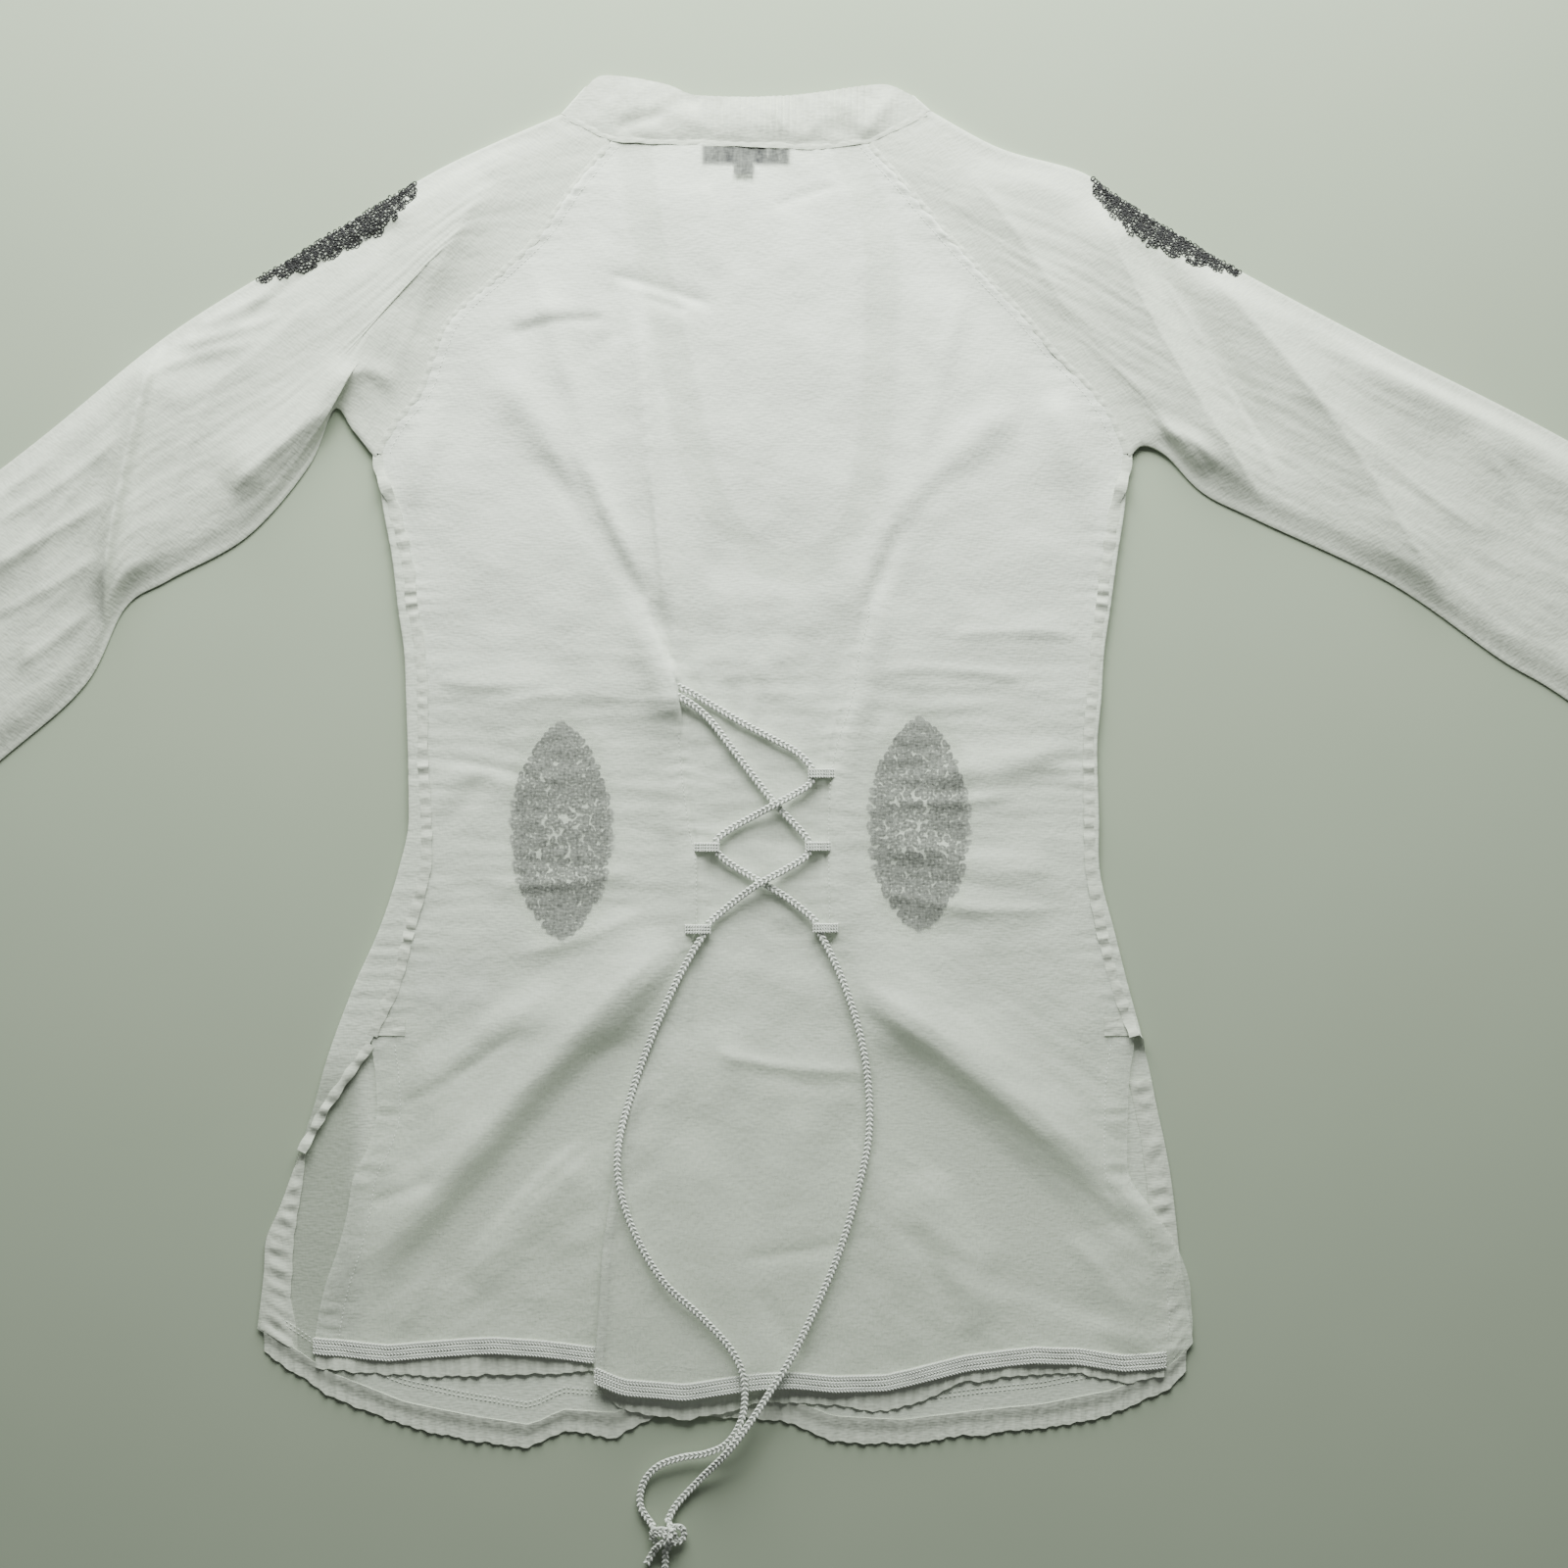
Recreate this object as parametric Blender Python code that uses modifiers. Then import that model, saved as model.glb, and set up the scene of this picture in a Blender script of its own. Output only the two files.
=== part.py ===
# A cotton tunic blouse laid flat on its front: back panel up, raglan sleeves out
# to both sides, stand collar at +Y, curved and slit hems at -Y.
# All tables are in millimetres. The origin lies on the table under the waist.

import math
from collections import namedtuple

import bmesh
import bpy
from mathutils import Vector
from mathutils.bvhtree import BVHTree

MM = 0.001
WALL = 1.0
TURN = 1.3                      # radius where the middle of the wall turns round an edge
LOWER = WALL / 2                # middle of the wall that lies on the table
UPPER = LOWER + 2 * TURN        # middle of the wall above it
SEAM = 0.45                     # half of the seam line's width, taken off each panel's edge
APART = WALL + 0.3              # from one wall's middle to that of a wall lying on it
TURN_STEPS = 3

COTTON = (0.80, 0.83, 0.79)
BRAID = (0.86, 0.88, 0.85)
CHARCOAL = (0.03, 0.03, 0.035)
COTTON_ROUGHNESS = 0.85
CORD_ROUGHNESS = 0.6

# One row for each section of the body, from the neck down to the slits and hem.
Section = namedtuple("Section", "y outline_left front_left back_left dart_left "
                                "dart_right back_right outline_right")
BODY = [
    Section(368, -82, -82, -82, -28, 28, 64, 64),
    Section(340, -105, -105, -105, -31, 35, 88.5, 88.5),
    Section(311, -126, -126, -126, -35, 41, 113.5, 113.5),
    Section(290, -148, -148, -148, -37, 43, 132.5, 132.5),
    Section(266, -174, -174, -174, -40, 46, 156, 156),
    Section(248, -183, -183, -183, -43, 49, 171, 171),
    Section(222, -193, -193, -193, -46, 52, 196, 196),
    Section(206, -206, -206, -206, -49, 54, 206, 206),
    Section(186, -215.5, -215.5, -215.5, -52, 57, 213, 213),
    Section(160, -213, -207, -207, -56, 60, 206.5, 212),
    Section(130, -207.5, -199.5, -199.5, -59, 63.5, 202, 207.5),
    Section(100, -204, -195.5, -195.5, -60, 64, 198, 203.5),
    Section(75, -200.5, -191.5, -191.5, -51, 58.5, 195, 200),
    Section(50, -199.5, -190, -190, -42.5, 54.5, 193, 198.5),
    Section(20, -198.5, -190, -190, -41.5, 45, 191, 196),
    Section(-20, -198, -188, -188, -37, 41, 191.5, 197),
    Section(-50, -204, -188.5, -188.5, -32, 41, 192.5, 197.5),
    Section(-85, -215.5, -198, -198, -33, 42, 199, 206),
    Section(-115, -229, -205.5, -205.5, -44, 44.5, 206.5, 213.5),
    Section(-148, -241.5, -219, -219, -59, 48, 217, 222.5),
    Section(-165, -247, -231, -217, -65, 49.5, 214.5, 226.5),
    Section(-185, -252.5, -245, -216, -71, 51, 213.5, 230.5),
    Section(-208, -260, -258, -221.5, -76.5, 52, 213, 235.5),
    Section(-225, -266, -266, -229.5, -79.5, 53.5, 214.5, 238.5),
    Section(-245, -273, -273, -233, -83, 55, 229, 241),
    Section(-265, -280, -280, -238, -86, 56, 242, 243),
    Section(-290, -281.5, -281.5, -246, -88, 58, 249.5, 246),
    Section(-320, -284, -284, -251.5, -90.5, 59.5, 247, 250),
    Section(-330, -285, -285, -252, -91, 60, 235, 251),
]
RAGLAN_ROWS = (368, 354, 340, 325, 311, 290, 266, 248, 222, 206, 186)
SIDE_ROWS = (168, 145, 120, 100, 82, 62, 40, 15, -15, -40, -65, -85, -102, -122, -148)
SLIT_ROWS = (-165, -185, -208, -228, -248, -268, -290, -308, -320, -330)
BODY_ROWS = RAGLAN_ROWS + SIDE_ROWS + SLIT_ROWS
SLIT_TOP = -148
BRAID_WIDTH = 10.0
SIDE_COLUMNS = 12               # columns of the back panel between a side edge and a dart
MIDDLE_COLUMNS = 7

# The seam where the collar meets the sleeves and the back panel, left to right.
NECK_SEAM = [(-110, 383), (-97, 376.5), (-82, 369.3), (-60, 368), (0, 366), (35, 364.5),
             (64, 368), (82, 376), (100, 385)]
COLLAR_TOP = [(-96, 399), (-88, 405), (-70, 404), (-50, 400), (-35, 394.5), (-10, 393),
              (20, 394), (40, 396), (60, 399), (76, 400), (90, 394)]

# The back panel's lower edge, and how far the gathered ruffle reaches below it.
Hem = namedtuple("Hem", "x edge ruffle")
BACK_HEM_LEFT = [Hem(-252, -326, 8), Hem(-210, -330, 8), Hem(-180, -327.5, 11),
                 Hem(-150, -325.5, 12), Hem(-120, -327.5, 11), Hem(-94, -331, 5)]
BACK_HEM_RIGHT = [Hem(-91, -342, 2), Hem(-75, -349, 9), Hem(-40, -352, 12), Hem(-8, -347, 11),
                  Hem(5, -345.5, 7), Hem(20, -345, 9), Hem(45, -347.5, 7), Hem(75, -347, 12),
                  Hem(100, -341, 10), Hem(120, -336, 6), Hem(160, -331, 7),
                  Hem(185, -332, 4), Hem(212, -336, 7), Hem(235, -334, 4)]
FRONT_HEM = [Hem(-285, -312, 10), Hem(-262, -326, 12), Hem(-245, -338, 12),
             Hem(-200, -356, 12), Hem(-160, -364, 12), Hem(-128, -369, 12),
             Hem(-110, -360, 11), Hem(-80, -362, 12), Hem(-50, -347, 11),
             Hem(-20, -351, 12), Hem(15, -352, 12), Hem(45, -364, 12), Hem(85, -366, 12),
             Hem(125, -361, 12), Hem(165, -357, 12), Hem(205, -349, 12),
             Hem(240, -334, 11), Hem(251, -320, 10)]
WAVE_PITCH = 8.0
WAVE_HEIGHT = 1.1

# The front's neck opening, which the back panel covers.
Opening = namedtuple("Opening", "y left right")
NECK_OPENING = [Opening(368, -58, 40), Opening(311, -49, 60), Opening(260, -38, 61),
                Opening(215, -28, 58.5), Opening(180, -20, 54), Opening(145, -4, 45),
                Opening(120, -4, 45), Opening(-330, -20, 30)]
NECK_BOTTOM_ROW = BODY_ROWS.index(145)
NECK_BAND = 22.0

# Folds: a bent line from start over bend to end, its half width and its height.
Fold = namedtuple("Fold", "start bend end width height")
BACK_FOLDS = [
    Fold((-186, 250), (-189, 190), (-200, 150), 10, 3.5),
    Fold((-165, 220), (-172, 185), (-192, 150), 8, -2.5),
    Fold((-150, 235), (-110, 200), (-66, 108), 11, 2.8),
    Fold((-125, 190), (-92, 150), (-62, 100), 7, -2.2),
    Fold((-72, 270), (-62, 170), (-54, 90), 9, 2.4),
    Fold((-140, 262), (-112, 270), (-80, 262), 10, 2.0),
    Fold((150, 215), (105, 190), (64, 105), 11, 2.8),
    Fold((118, 185), (88, 150), (66, 108), 7, -2.2),
    Fold((172, 225), (180, 185), (200, 140), 10, 3.5),
    Fold((-185, 10), (-150, 6), (-110, 0), 9, 1.8),
    Fold((-190, -25), (-165, -12), (-150, 5), 8, -1.6),
    Fold((180, 20), (140, 10), (95, 5), 9, 1.8),
    Fold((180, -50), (130, -52), (70, -30), 10, 1.6),
    Fold((-42, -95), (-120, -160), (-222, -288), 15, 5.0),
    Fold((-75, -145), (-130, -205), (-195, -290), 11, -3.5),
    Fold((-110, -120), (-165, -150), (-205, -190), 12, 2.6),
    Fold((-95, -215), (-135, -240), (-165, -290), 11, 3.4),
    Fold((58, -115), (150, -180), (240, -268), 15, 5.0),
    Fold((60, -150), (120, -210), (190, -262), 12, -3.2),
    Fold((95, -220), (110, -270), (130, -310), 14, 2.6),
    Fold((-10, -155), (25, -172), (60, -166), 9, -2.2),
    Fold((-40, -200), (-20, -270), (10, -330), 22, 2.4),
    Fold((210, -250), (225, -290), (215, -322), 20, 3.0),
]
DART_PUCKER = 2.2               # how far the cloth beside a dart stands up
PLEAT_STEP = 3.2                # height of the pleat's folded edge at the hem
PLEAT_WIDTH = 3.0
PLEAT_TOP = -90
PILLOW = 1.6                    # air under the middle of the back

Sleeve = namedtuple("Sleeve", "name top bottom rings folds")
SLEEVES = [
    Sleeve("sleeve_left",
           [(-110, 383), (-160, 362), (-190, 347), (-240, 317), (-264, 302), (-339, 255),
            (-431, 181), (-609, 51)],
           [(-216.5, 186), (-230, 203), (-241, 215), (-256, 182), (-291, 142), (-336, 117),
            (-361, 101), (-384, 57), (-431, 15), (-524, -60)],
           (0, 0.03, 0.08, 0.15, 0.24, 0.34, 0.44, 0.52, 0.6, 0.7, 0.84, 1),
           [Fold((-332, 248), (-362, 180), (-368, 98), 15, 4.0),
            Fold((-205, 330), (-250, 300), (-295, 262), 16, -2.5),
            Fold((-225, 235), (-262, 200), (-300, 165), 13, 4.0),
            Fold((-150, 345), (-190, 300), (-215, 240), 16, 2.5),
            Fold((-420, 160), (-480, 90), (-560, 10), 18, 3.0)]),
    Sleeve("sleeve_right",
           [(100, 385), (140, 364), (186, 351), (210, 335), (267, 300), (357, 252),
            (465, 197), (630, 102)],
           [(214, 186), (222, 194), (236, 188), (257, 167), (289, 151), (365, 115),
            (427, 72), (465, 49), (560, -19)],
           (0, 0.03, 0.08, 0.15, 0.24, 0.34, 0.44, 0.54, 0.64, 0.75, 0.87, 1),
           [Fold((192, 335), (222, 265), (285, 158), 14, 3.8),
            Fold((215, 318), (258, 250), (300, 185), 11, -2.5),
            Fold((252, 300), (340, 215), (392, 105), 15, 3.2),
            Fold((340, 245), (430, 200), (540, 120), 14, 2.8),
            Fold((215, 198), (245, 205), (262, 172), 8, 3.2)]),
]
SLEEVE_PILLOW = 2.0

# The lace: where each strand runs, and how far it rises over what it lies on.
Route = namedtuple("Route", "x y rise")
LACE_RADIUS = 1.8
LACE_GAP = 0.4
LACE_SPACING = 21               # rows further apart than this get a point between them
OVER = 5.2                      # rise of a strand that crosses over the other
HUMP = 2.0                      # rise beside a crossing
HELD = 1.5                      # rise inside a braid loop
LACE_A = [
    Route(-46, 57, 0), Route(-34, 51, 0), Route(-24, 45, 0), Route(-7, 35, 0), Route(10, 26, 0),
    Route(23, 19, 0.4), Route(31, 11.5, HELD), Route(33.5, 5.5, HELD), Route(31, -0.5, HELD),
    Route(22, -6, HUMP), Route(12, -11.5, OVER), Route(1, -17.5, HUMP), Route(-11, -24, 0.6),
    Route(-20.5, -30.5, HELD), Route(-22.5, -35.5, HELD), Route(-19.5, -41, HELD),
    Route(-10, -48, 0), Route(3, -55.5, 0), Route(18, -64.5, 0), Route(29, -73, 0.6),
    Route(34.5, -78, HELD), Route(36, -82, HELD), Route(38, -86.5, HELD), Route(43, -96, 0.4),
    Route(51, -114, 0), Route(60, -142, 0), Route(65, -172, 0), Route(65, -203, 0),
    Route(58, -235, 0), Route(49, -265, 0), Route(38, -292, 0), Route(22, -325, 0),
    Route(9, -346, 1.2), Route(-3, -364, 3.0), Route(-16, -381, OVER), Route(-31, -397.5, 0.8),
    Route(-44.5, -412.5, 0.2), Route(-49.4, -421.2, 1.4)]
LACE_B = [
    Route(-46, 51.5, 0), Route(-35, 45, 0), Route(-25, 36, 0), Route(-13, 20.5, 0),
    Route(0, 3.5, 0), Route(12, -11.5, 0), Route(23, -23, 0.2), Route(30, -31, HELD),
    Route(31.5, -36.5, HELD), Route(28.5, -42, HELD), Route(17, -49, HUMP),
    Route(3, -56.5, OVER), Route(-9, -65, HUMP), Route(-20, -74, 0.6),
    Route(-26.2, -79.5, HELD), Route(-28, -83.5, HELD), Route(-30.4, -88, HELD),
    Route(-36, -97, 0.4),
    Route(-45, -114, 0), Route(-56, -138, 0), Route(-68, -170, 0), Route(-77, -203, 0),
    Route(-77, -228, 0), Route(-68, -256, 0), Route(-52, -283, 0), Route(-31, -303, 0),
    Route(-15, -320, 0), Route(-7, -335, 0), Route(-5.5, -350, 0), Route(-8, -364, 0),
    Route(-16, -376.5, 0), Route(-28, -382.5, 0), Route(-42, -385, 0), Route(-55, -390, 0),
    Route(-63.5, -400, 0), Route(-65.5, -413, 0.2), Route(-58.6, -424, 1.4)]
TAIL_LEFT = [Route(-56.7, -437.6, 1.4), Route(-59, -441.5, 0.7), Route(-61.5, -446, 0)]
TAIL_DOWN = [Route(-51, -439.1, 1.4), Route(-51.2, -448, 0.4), Route(-53, -459, 0),
             Route(-58, -470, 0), Route(-60, -478, 0)]
KNOT_CENTRE = (-52, -430)
KNOT_SIZE = (16, 17, 8)

# Braid loops: each holds the lace near its hold_x and is sewn into a dart at its root_x.
Loop = namedtuple("Loop", "name hold_x root_x y")
LOOPS = [Loop("loop_right_top", 33.5, 43.5, 5.5), Loop("loop_right_middle", 31.5, 41.5, -36.5),
         Loop("loop_right_bottom", 36, 45, -82), Loop("loop_left_middle", -22.5, -32, -35.5),
         Loop("loop_left_bottom", -28, -37, -83.5)]
LOOP_WIDTH = 5.0
LOOP_BORE = 2.65                # radius of the middle of the strap round the lace
LOOP_SLACK = 2.0                # room between the lace and the end of the strap
BRIDGE_X = (-46.5, -41)         # the topmost left loop bridges the start of both strands
BRIDGE_Y = (66, 63.2, 61.6, 44.6, 43, 40.5)

Tab = namedtuple("Tab", "name x_min x_max y_min y_max lift")
TABS = [Tab("neck_label", -30, 20, 354, 365.5, -APART),
        Tab("hanger_loop", -12, 0, 349, 364, -2 * APART),
        Tab("care_label", -194, -152, -124, -99, -APART),
        Tab("slit_tab_left", -217, -198, -145, -131, APART),
        Tab("slit_tab_right", 198, 215, -145, -131, APART)]


def smoothstep(value):
    value = min(max(value, 0.0), 1.0)
    return value * value * (3 - 2 * value)


def spline(points, count):
    # Points evenly spaced along one smooth curve through the given points.
    given = [Vector(point) for point in points]
    dense = []
    for index in range(len(given) - 1):
        before = given[max(index - 1, 0)]
        start, end = given[index], given[index + 1]
        after = given[min(index + 2, len(given) - 1)]
        for step in range(12):
            t = step / 12
            dense.append(0.5 * ((2 * start) + (end - before) * t
                                + (2 * before - 5 * start + 4 * end - after) * t ** 2
                                + (3 * start - before - 3 * end + after) * t ** 3))
    dense.append(given[-1])
    lengths = [0.0]
    for start, end in zip(dense, dense[1:]):
        lengths.append(lengths[-1] + (end - start).length)
    return [at(lengths, dense, lengths[-1] * index / count) for index in range(count + 1)]


def at(keys, values, key):
    # Straight interpolation in a table whose keys rise.
    if key <= keys[0]:
        return values[0]
    for index in range(1, len(keys)):
        if key <= keys[index]:
            share = (key - keys[index - 1]) / (keys[index] - keys[index - 1])
            return values[index - 1] + (values[index] - values[index - 1]) * share
    return values[-1]


def column(table, name, y):
    # One column of a table of sections, read at a height y on a smooth curve.
    ys = [-row.y for row in table]
    xs = [getattr(row, name) for row in table]
    for index in range(len(ys) - 1):
        if -y <= ys[index + 1] or index == len(ys) - 2:
            break
    span = ys[index + 1] - ys[index]
    share = min(max((-y - ys[index]) / span, 0.0), 1.0)
    slope = (xs[index + 1] - xs[index]) / span
    before = (xs[index] - xs[index - 1]) / (ys[index] - ys[index - 1]) if index else slope
    last = index + 2 >= len(ys)
    after = slope if last else (xs[index + 2] - xs[index + 1]) / (ys[index + 2] - ys[index + 1])
    enter = 0.5 * (before + slope) if before * slope > 0 else 0.0
    leave = 0.5 * (after + slope) if after * slope > 0 else 0.0
    return (xs[index] * (1 + 2 * share) * (1 - share) ** 2
            + xs[index + 1] * share ** 2 * (3 - 2 * share)
            + enter * span * share * (1 - share) ** 2
            - leave * span * share ** 2 * (1 - share))


def fold_line(fold):
    start, bend, end = Vector(fold.start), Vector(fold.bend), Vector(fold.end)
    steps = [index / 8 for index in range(9)]
    return [start * (1 - t) ** 2 + bend * 2 * t * (1 - t) + end * t ** 2 for t in steps]


def relief(folds, x, y):
    # Height that the folds give at one place.
    here = Vector((x, y))
    total = 0.0
    for fold in folds:
        nearest, share = min(
            ((here - (a + (b - a) * t)).length, (index + t) / 8)
            for index, (a, b) in enumerate(zip(fold.line, fold.line[1:]))
            for t in [min(max((here - a).dot(b - a) / (b - a).length_squared, 0), 1)])
        fade = smoothstep(share * 4 + 0.25) * smoothstep((1 - share) * 4 + 0.25)
        total += fold.height * fade * math.exp(-(nearest / fold.width) ** 2)
    return total


Drawn = namedtuple("Drawn", "line width height")


def drawn(folds):
    return [Drawn(fold_line(fold), fold.width, fold.height) for fold in folds]


BACK_DRAWN = drawn(BACK_FOLDS)


def soft_floor(height):
    return 0.5 * (height + math.sqrt(height * height + 0.3)) - 0.27


def back_height(x, y):
    # Middle of the back panel's wall above the table.
    left = column(BODY, "back_left", y)
    right = column(BODY, "back_right", y)
    dart_left = column(BODY, "dart_left", y)
    dart_right = column(BODY, "dart_right", y)
    inside = min(x - left, right - x)
    open_edge = smoothstep((SLIT_TOP - y) / 60)
    edge = max(smoothstep(inside / 34), 0.35 * open_edge) * smoothstep((372 - y) / 40)
    height = PILLOW * smoothstep(inside / 60) + relief(BACK_DRAWN, x, y)
    in_darts = smoothstep((112 - y) / 30) * smoothstep((y + 115) / 40)
    for dart, outward in ((dart_left, dart_left - x), (dart_right, x - dart_right)):
        height += DART_PUCKER * in_darts * math.exp(-((outward - 9) / 8) ** 2)
    between = smoothstep((x - dart_left) / 8) * smoothstep((dart_right - x) / 8)
    height *= 1 - 0.8 * in_darts * between
    pleat = smoothstep((PLEAT_TOP - y) / 110) * smoothstep((x - dart_left) / PLEAT_WIDTH + 1)
    height += PLEAT_STEP * pleat * math.exp(-max(x - dart_left, 0) / 90)
    return UPPER + edge * soft_floor(height)


def spread(start, end, count):
    return [start + (end - start) * index / count for index in range(count)]


def hem_edge(table, x):
    return at([row.x for row in table], [row.edge for row in table], x)


def back_grid():
    table = BACK_HEM_LEFT + BACK_HEM_RIGHT
    rows = []
    for y in BODY_ROWS:
        left = column(BODY, "back_left", y) + SEAM
        right = column(BODY, "back_right", y) - SEAM
        pleat = column(BODY, "dart_left", y)
        dart = column(BODY, "dart_right", y)
        xs = (spread(left, pleat - PLEAT_WIDTH, SIDE_COLUMNS) + [pleat - PLEAT_WIDTH]
              + spread(pleat, dart, MIDDLE_COLUMNS) + spread(dart, right, SIDE_COLUMNS) + [right])
        row = []
        for x in xs:
            neck = at([p[0] for p in NECK_SEAM], [p[1] for p in NECK_SEAM], x) - 0.9
            drop = smoothstep((-240 - y) / 90) * (hem_edge(table, x) + 330)
            lift = smoothstep((y - 325) / 43) * (neck - 368)
            lift *= smoothstep(min(x - left, right - x) / 20)
            row.append((x, y + drop + lift, back_height(x, y)))
        rows.append(row)
    return rows


def turned_edge(angle, over):
    # Section of an edge that turns by an angle and then runs on, as (along, up) from the
    # place where the turn starts; along counts outwards.
    length = TURN * math.pi
    points = []
    along = up = 0.0
    for step in range(TURN_STEPS):
        middle = angle * (step + 0.5) / TURN_STEPS
        along += length / TURN_STEPS * math.cos(middle)
        up += length / TURN_STEPS * math.sin(middle)
        points.append((along, up))
    for share in (0.5, 1.0):
        points.append((along + over * share * math.cos(angle),
                       up + over * share * math.sin(angle)))
    return points


def front_grid():
    rows = []
    for y in BODY_ROWS:
        left = column(BODY, "outline_left", y)
        right = column(BODY, "outline_right", y)
        wrap = smoothstep((186 - y) / 26)
        over_left = column(BODY, "front_left", y) - left - SEAM
        over_right = (right - column(BODY, "back_right", y) - SEAM) if y >= SLIT_TOP else 0
        sides = []
        for over, down in ((over_left, -222), (over_right, SLIT_TOP - 8)):
            angle = math.pi * wrap * smoothstep((y - down) / 22)
            sides.append(turned_edge(angle, max(over - TURN, 1.6)))
        reach = [max(point[0] for point in side) + SEAM * (1 - wrap) for side in sides]
        inner_left, inner_right = left + reach[0], right - reach[1]
        neck_left = column(NECK_OPENING, "left", y)
        neck_right = column(NECK_OPENING, "right", y)
        flat = ([inner_left] + spread(inner_left + 9, neck_left, 5)
                + spread(neck_left, neck_right, 3) + spread(neck_right, inner_right - 9, 5)
                + [inner_right - 9, inner_right])
        row = [(inner_left - along, LOWER + up) for along, up in reversed(sides[0])]
        row += [(x, LOWER) for x in flat]
        row += [(inner_right + along, LOWER + up) for along, up in sides[1]]
        shift = smoothstep((-225 - y) / 105)
        rows.append([(x, y + shift * (hem_edge(FRONT_HEM, x) + 330), z) for x, z in row])
    return rows


def ring(row, lower_z=LOWER):
    # A flattened ring: the given upper row, a turn at each end and a lower row under it.
    first, last = Vector(row[0]), Vector(row[-1])
    points = [Vector(point) for point in row]
    for end, beside, below in ((last, Vector(row[-2]), reversed(row)), (first, Vector(row[1]), [])):
        outward = Vector((end.x - beside.x, end.y - beside.y, 0)).normalized()
        radius = (end.z - lower_z) / 2
        turn = [end + outward * radius * math.sin(angle)
                - Vector((0, 0, radius * (1 - math.cos(angle))))
                for angle in (math.pi * (step + 1) / (TURN_STEPS + 1) for step in range(TURN_STEPS))]
        if end is last:
            points += turn + [Vector((x, y, lower_z)) for x, y, z in below]
        else:
            points += list(reversed(turn))
    return points + [points[0]]


def sleeve_rings(sleeve, side):
    # Rings from the raglan seam to the open end, between the sleeve's top and bottom edges.
    name = "back_left" if side < 0 else "back_right"
    neck = [Vector(point) for point in (NECK_SEAM[:3] if side < 0 else NECK_SEAM[:-4:-1])]
    seam = neck[:2] + [Vector((column(BODY, name, y), y)) for y in RAGLAN_ROWS]
    count = len(seam) - 1
    shares = [index / count for index in range(count + 1)]
    top, bottom = spline(sleeve.top, 200), spline(sleeve.bottom, 200)
    folds = drawn(sleeve.folds)
    rings = []
    for s in sleeve.rings:
        upper, lower = top[round(s * 200)], bottom[round(s * 200)]
        row = []
        for share, at_seam in zip(shares, seam):
            bow = at_seam - (seam[0] + (seam[-1] - seam[0]) * share)
            place = upper + (lower - upper) * share + bow * (1 - s) ** 3
            edge = smoothstep(share * 7) * smoothstep((1 - share) * 7)
            edge *= smoothstep(s * 9)
            height = SLEEVE_PILLOW + relief(folds, place.x, place.y)
            row.append((place.x, place.y, UPPER + edge * soft_floor(height)))
        rings.append(ring(row))
    return rings


def collar_rows():
    # The band lies doubled: the back of it above, its two ends turned under.
    rows = []
    bottom, top = spline(NECK_SEAM, 18), spline(COLLAR_TOP, 18)
    for share in (0, 0.3, 0.65, 1):
        row = []
        for index, (low, high) in enumerate(zip(bottom, top)):
            place = low + (high - low) * share
            gather = 0.5 * math.cos(index * math.pi) * share
            bulge = 1.6 * math.sin(math.pi * share) * smoothstep(min(index, 18 - index) / 4)
            row.append((place.x, place.y + 1.3 * (1 - share), UPPER + gather + bulge + 0.5 * share))
        whole = ring(row)[:-1]
        under = 3
        turn = len(row) + TURN_STEPS
        rows.append(whole[-(TURN_STEPS + under):] + whole[:turn + under])
    return rows


def ruffle_rows(line, table, base, height):
    # A gathered strip from a panel's last row of points down to its free edge.
    line = sorted(line, key=lambda point: point[0])
    xs = [point[0] for point in line]
    start, end = xs[0] + 0.6, xs[-1] - 0.6
    waves = round((end - start) / WAVE_PITCH)
    rows = []
    for share in (0.0, 0.45, 1.0):
        row = []
        for index in range(waves * 3 + 1):
            x = start + (end - start) * index / (waves * 3)
            depth = at([entry.x for entry in table], [entry.ruffle for entry in table], x)
            y = at(xs, [point[1] for point in line], x) - 0.5 - depth * share
            sway = 1 - math.cos(index * math.tau / 3 + 0.8 * math.sin(x * 0.07))
            z = at(xs, [point[2] for point in line], x) if base is None else base
            drop = -0.5 * height * share if base is None else 0.0
            row.append((x, y, z + drop + height * sway * share))
        rows.append(row)
    return rows


def raised(grid, rows, columns, lift):
    return [[(x, y, z + lift) for x, y, z in grid[row][columns]] for row in rows]


def band_rows():
    # The front neck's facing: down the left side of the opening, across and up the right.
    heights = [y for y in RAGLAN_ROWS + SIDE_ROWS if 145 < y < 360]
    path = [Vector((column(NECK_OPENING, "left", y), y)) for y in heights]
    path += [Vector((-4, 144)), Vector((12, 144)), Vector((28, 144)), Vector((45, 144))]
    path += [Vector((column(NECK_OPENING, "right", y), y)) for y in reversed(heights)]
    inner, outer = [], []
    for index, point in enumerate(path):
        ahead = path[min(index + 1, len(path) - 1)] - path[max(index - 1, 0)]
        outward = Vector((ahead.y, -ahead.x)).normalized()
        for row, distance in ((inner, 0.6), (outer, NECK_BAND)):
            place = point + outward * distance
            row.append((place.x, place.y, LOWER + APART))
    return [inner, outer]


class Cloth:
    # The built back panel's faces, for what lies on them.
    def __init__(self, grid):
        across = len(grid[0])
        faces = [(row * across + place, row * across + place + 1,
                  (row + 1) * across + place + 1, (row + 1) * across + place)
                 for row in range(len(grid) - 1) for place in range(across - 1)]
        self.tree = BVHTree.FromPolygons([point for row in grid for point in row], faces)

    def top(self, x, y, around=2.5):
        hits = [self.tree.ray_cast(Vector((x + dx, y + dy, 90)), Vector((0, 0, -1)))[0]
                for dx in (-around, 0, around) for dy in (-around, 0, around)]
        return max([hit.z for hit in hits if hit] or [UPPER]) + WALL / 2


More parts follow.
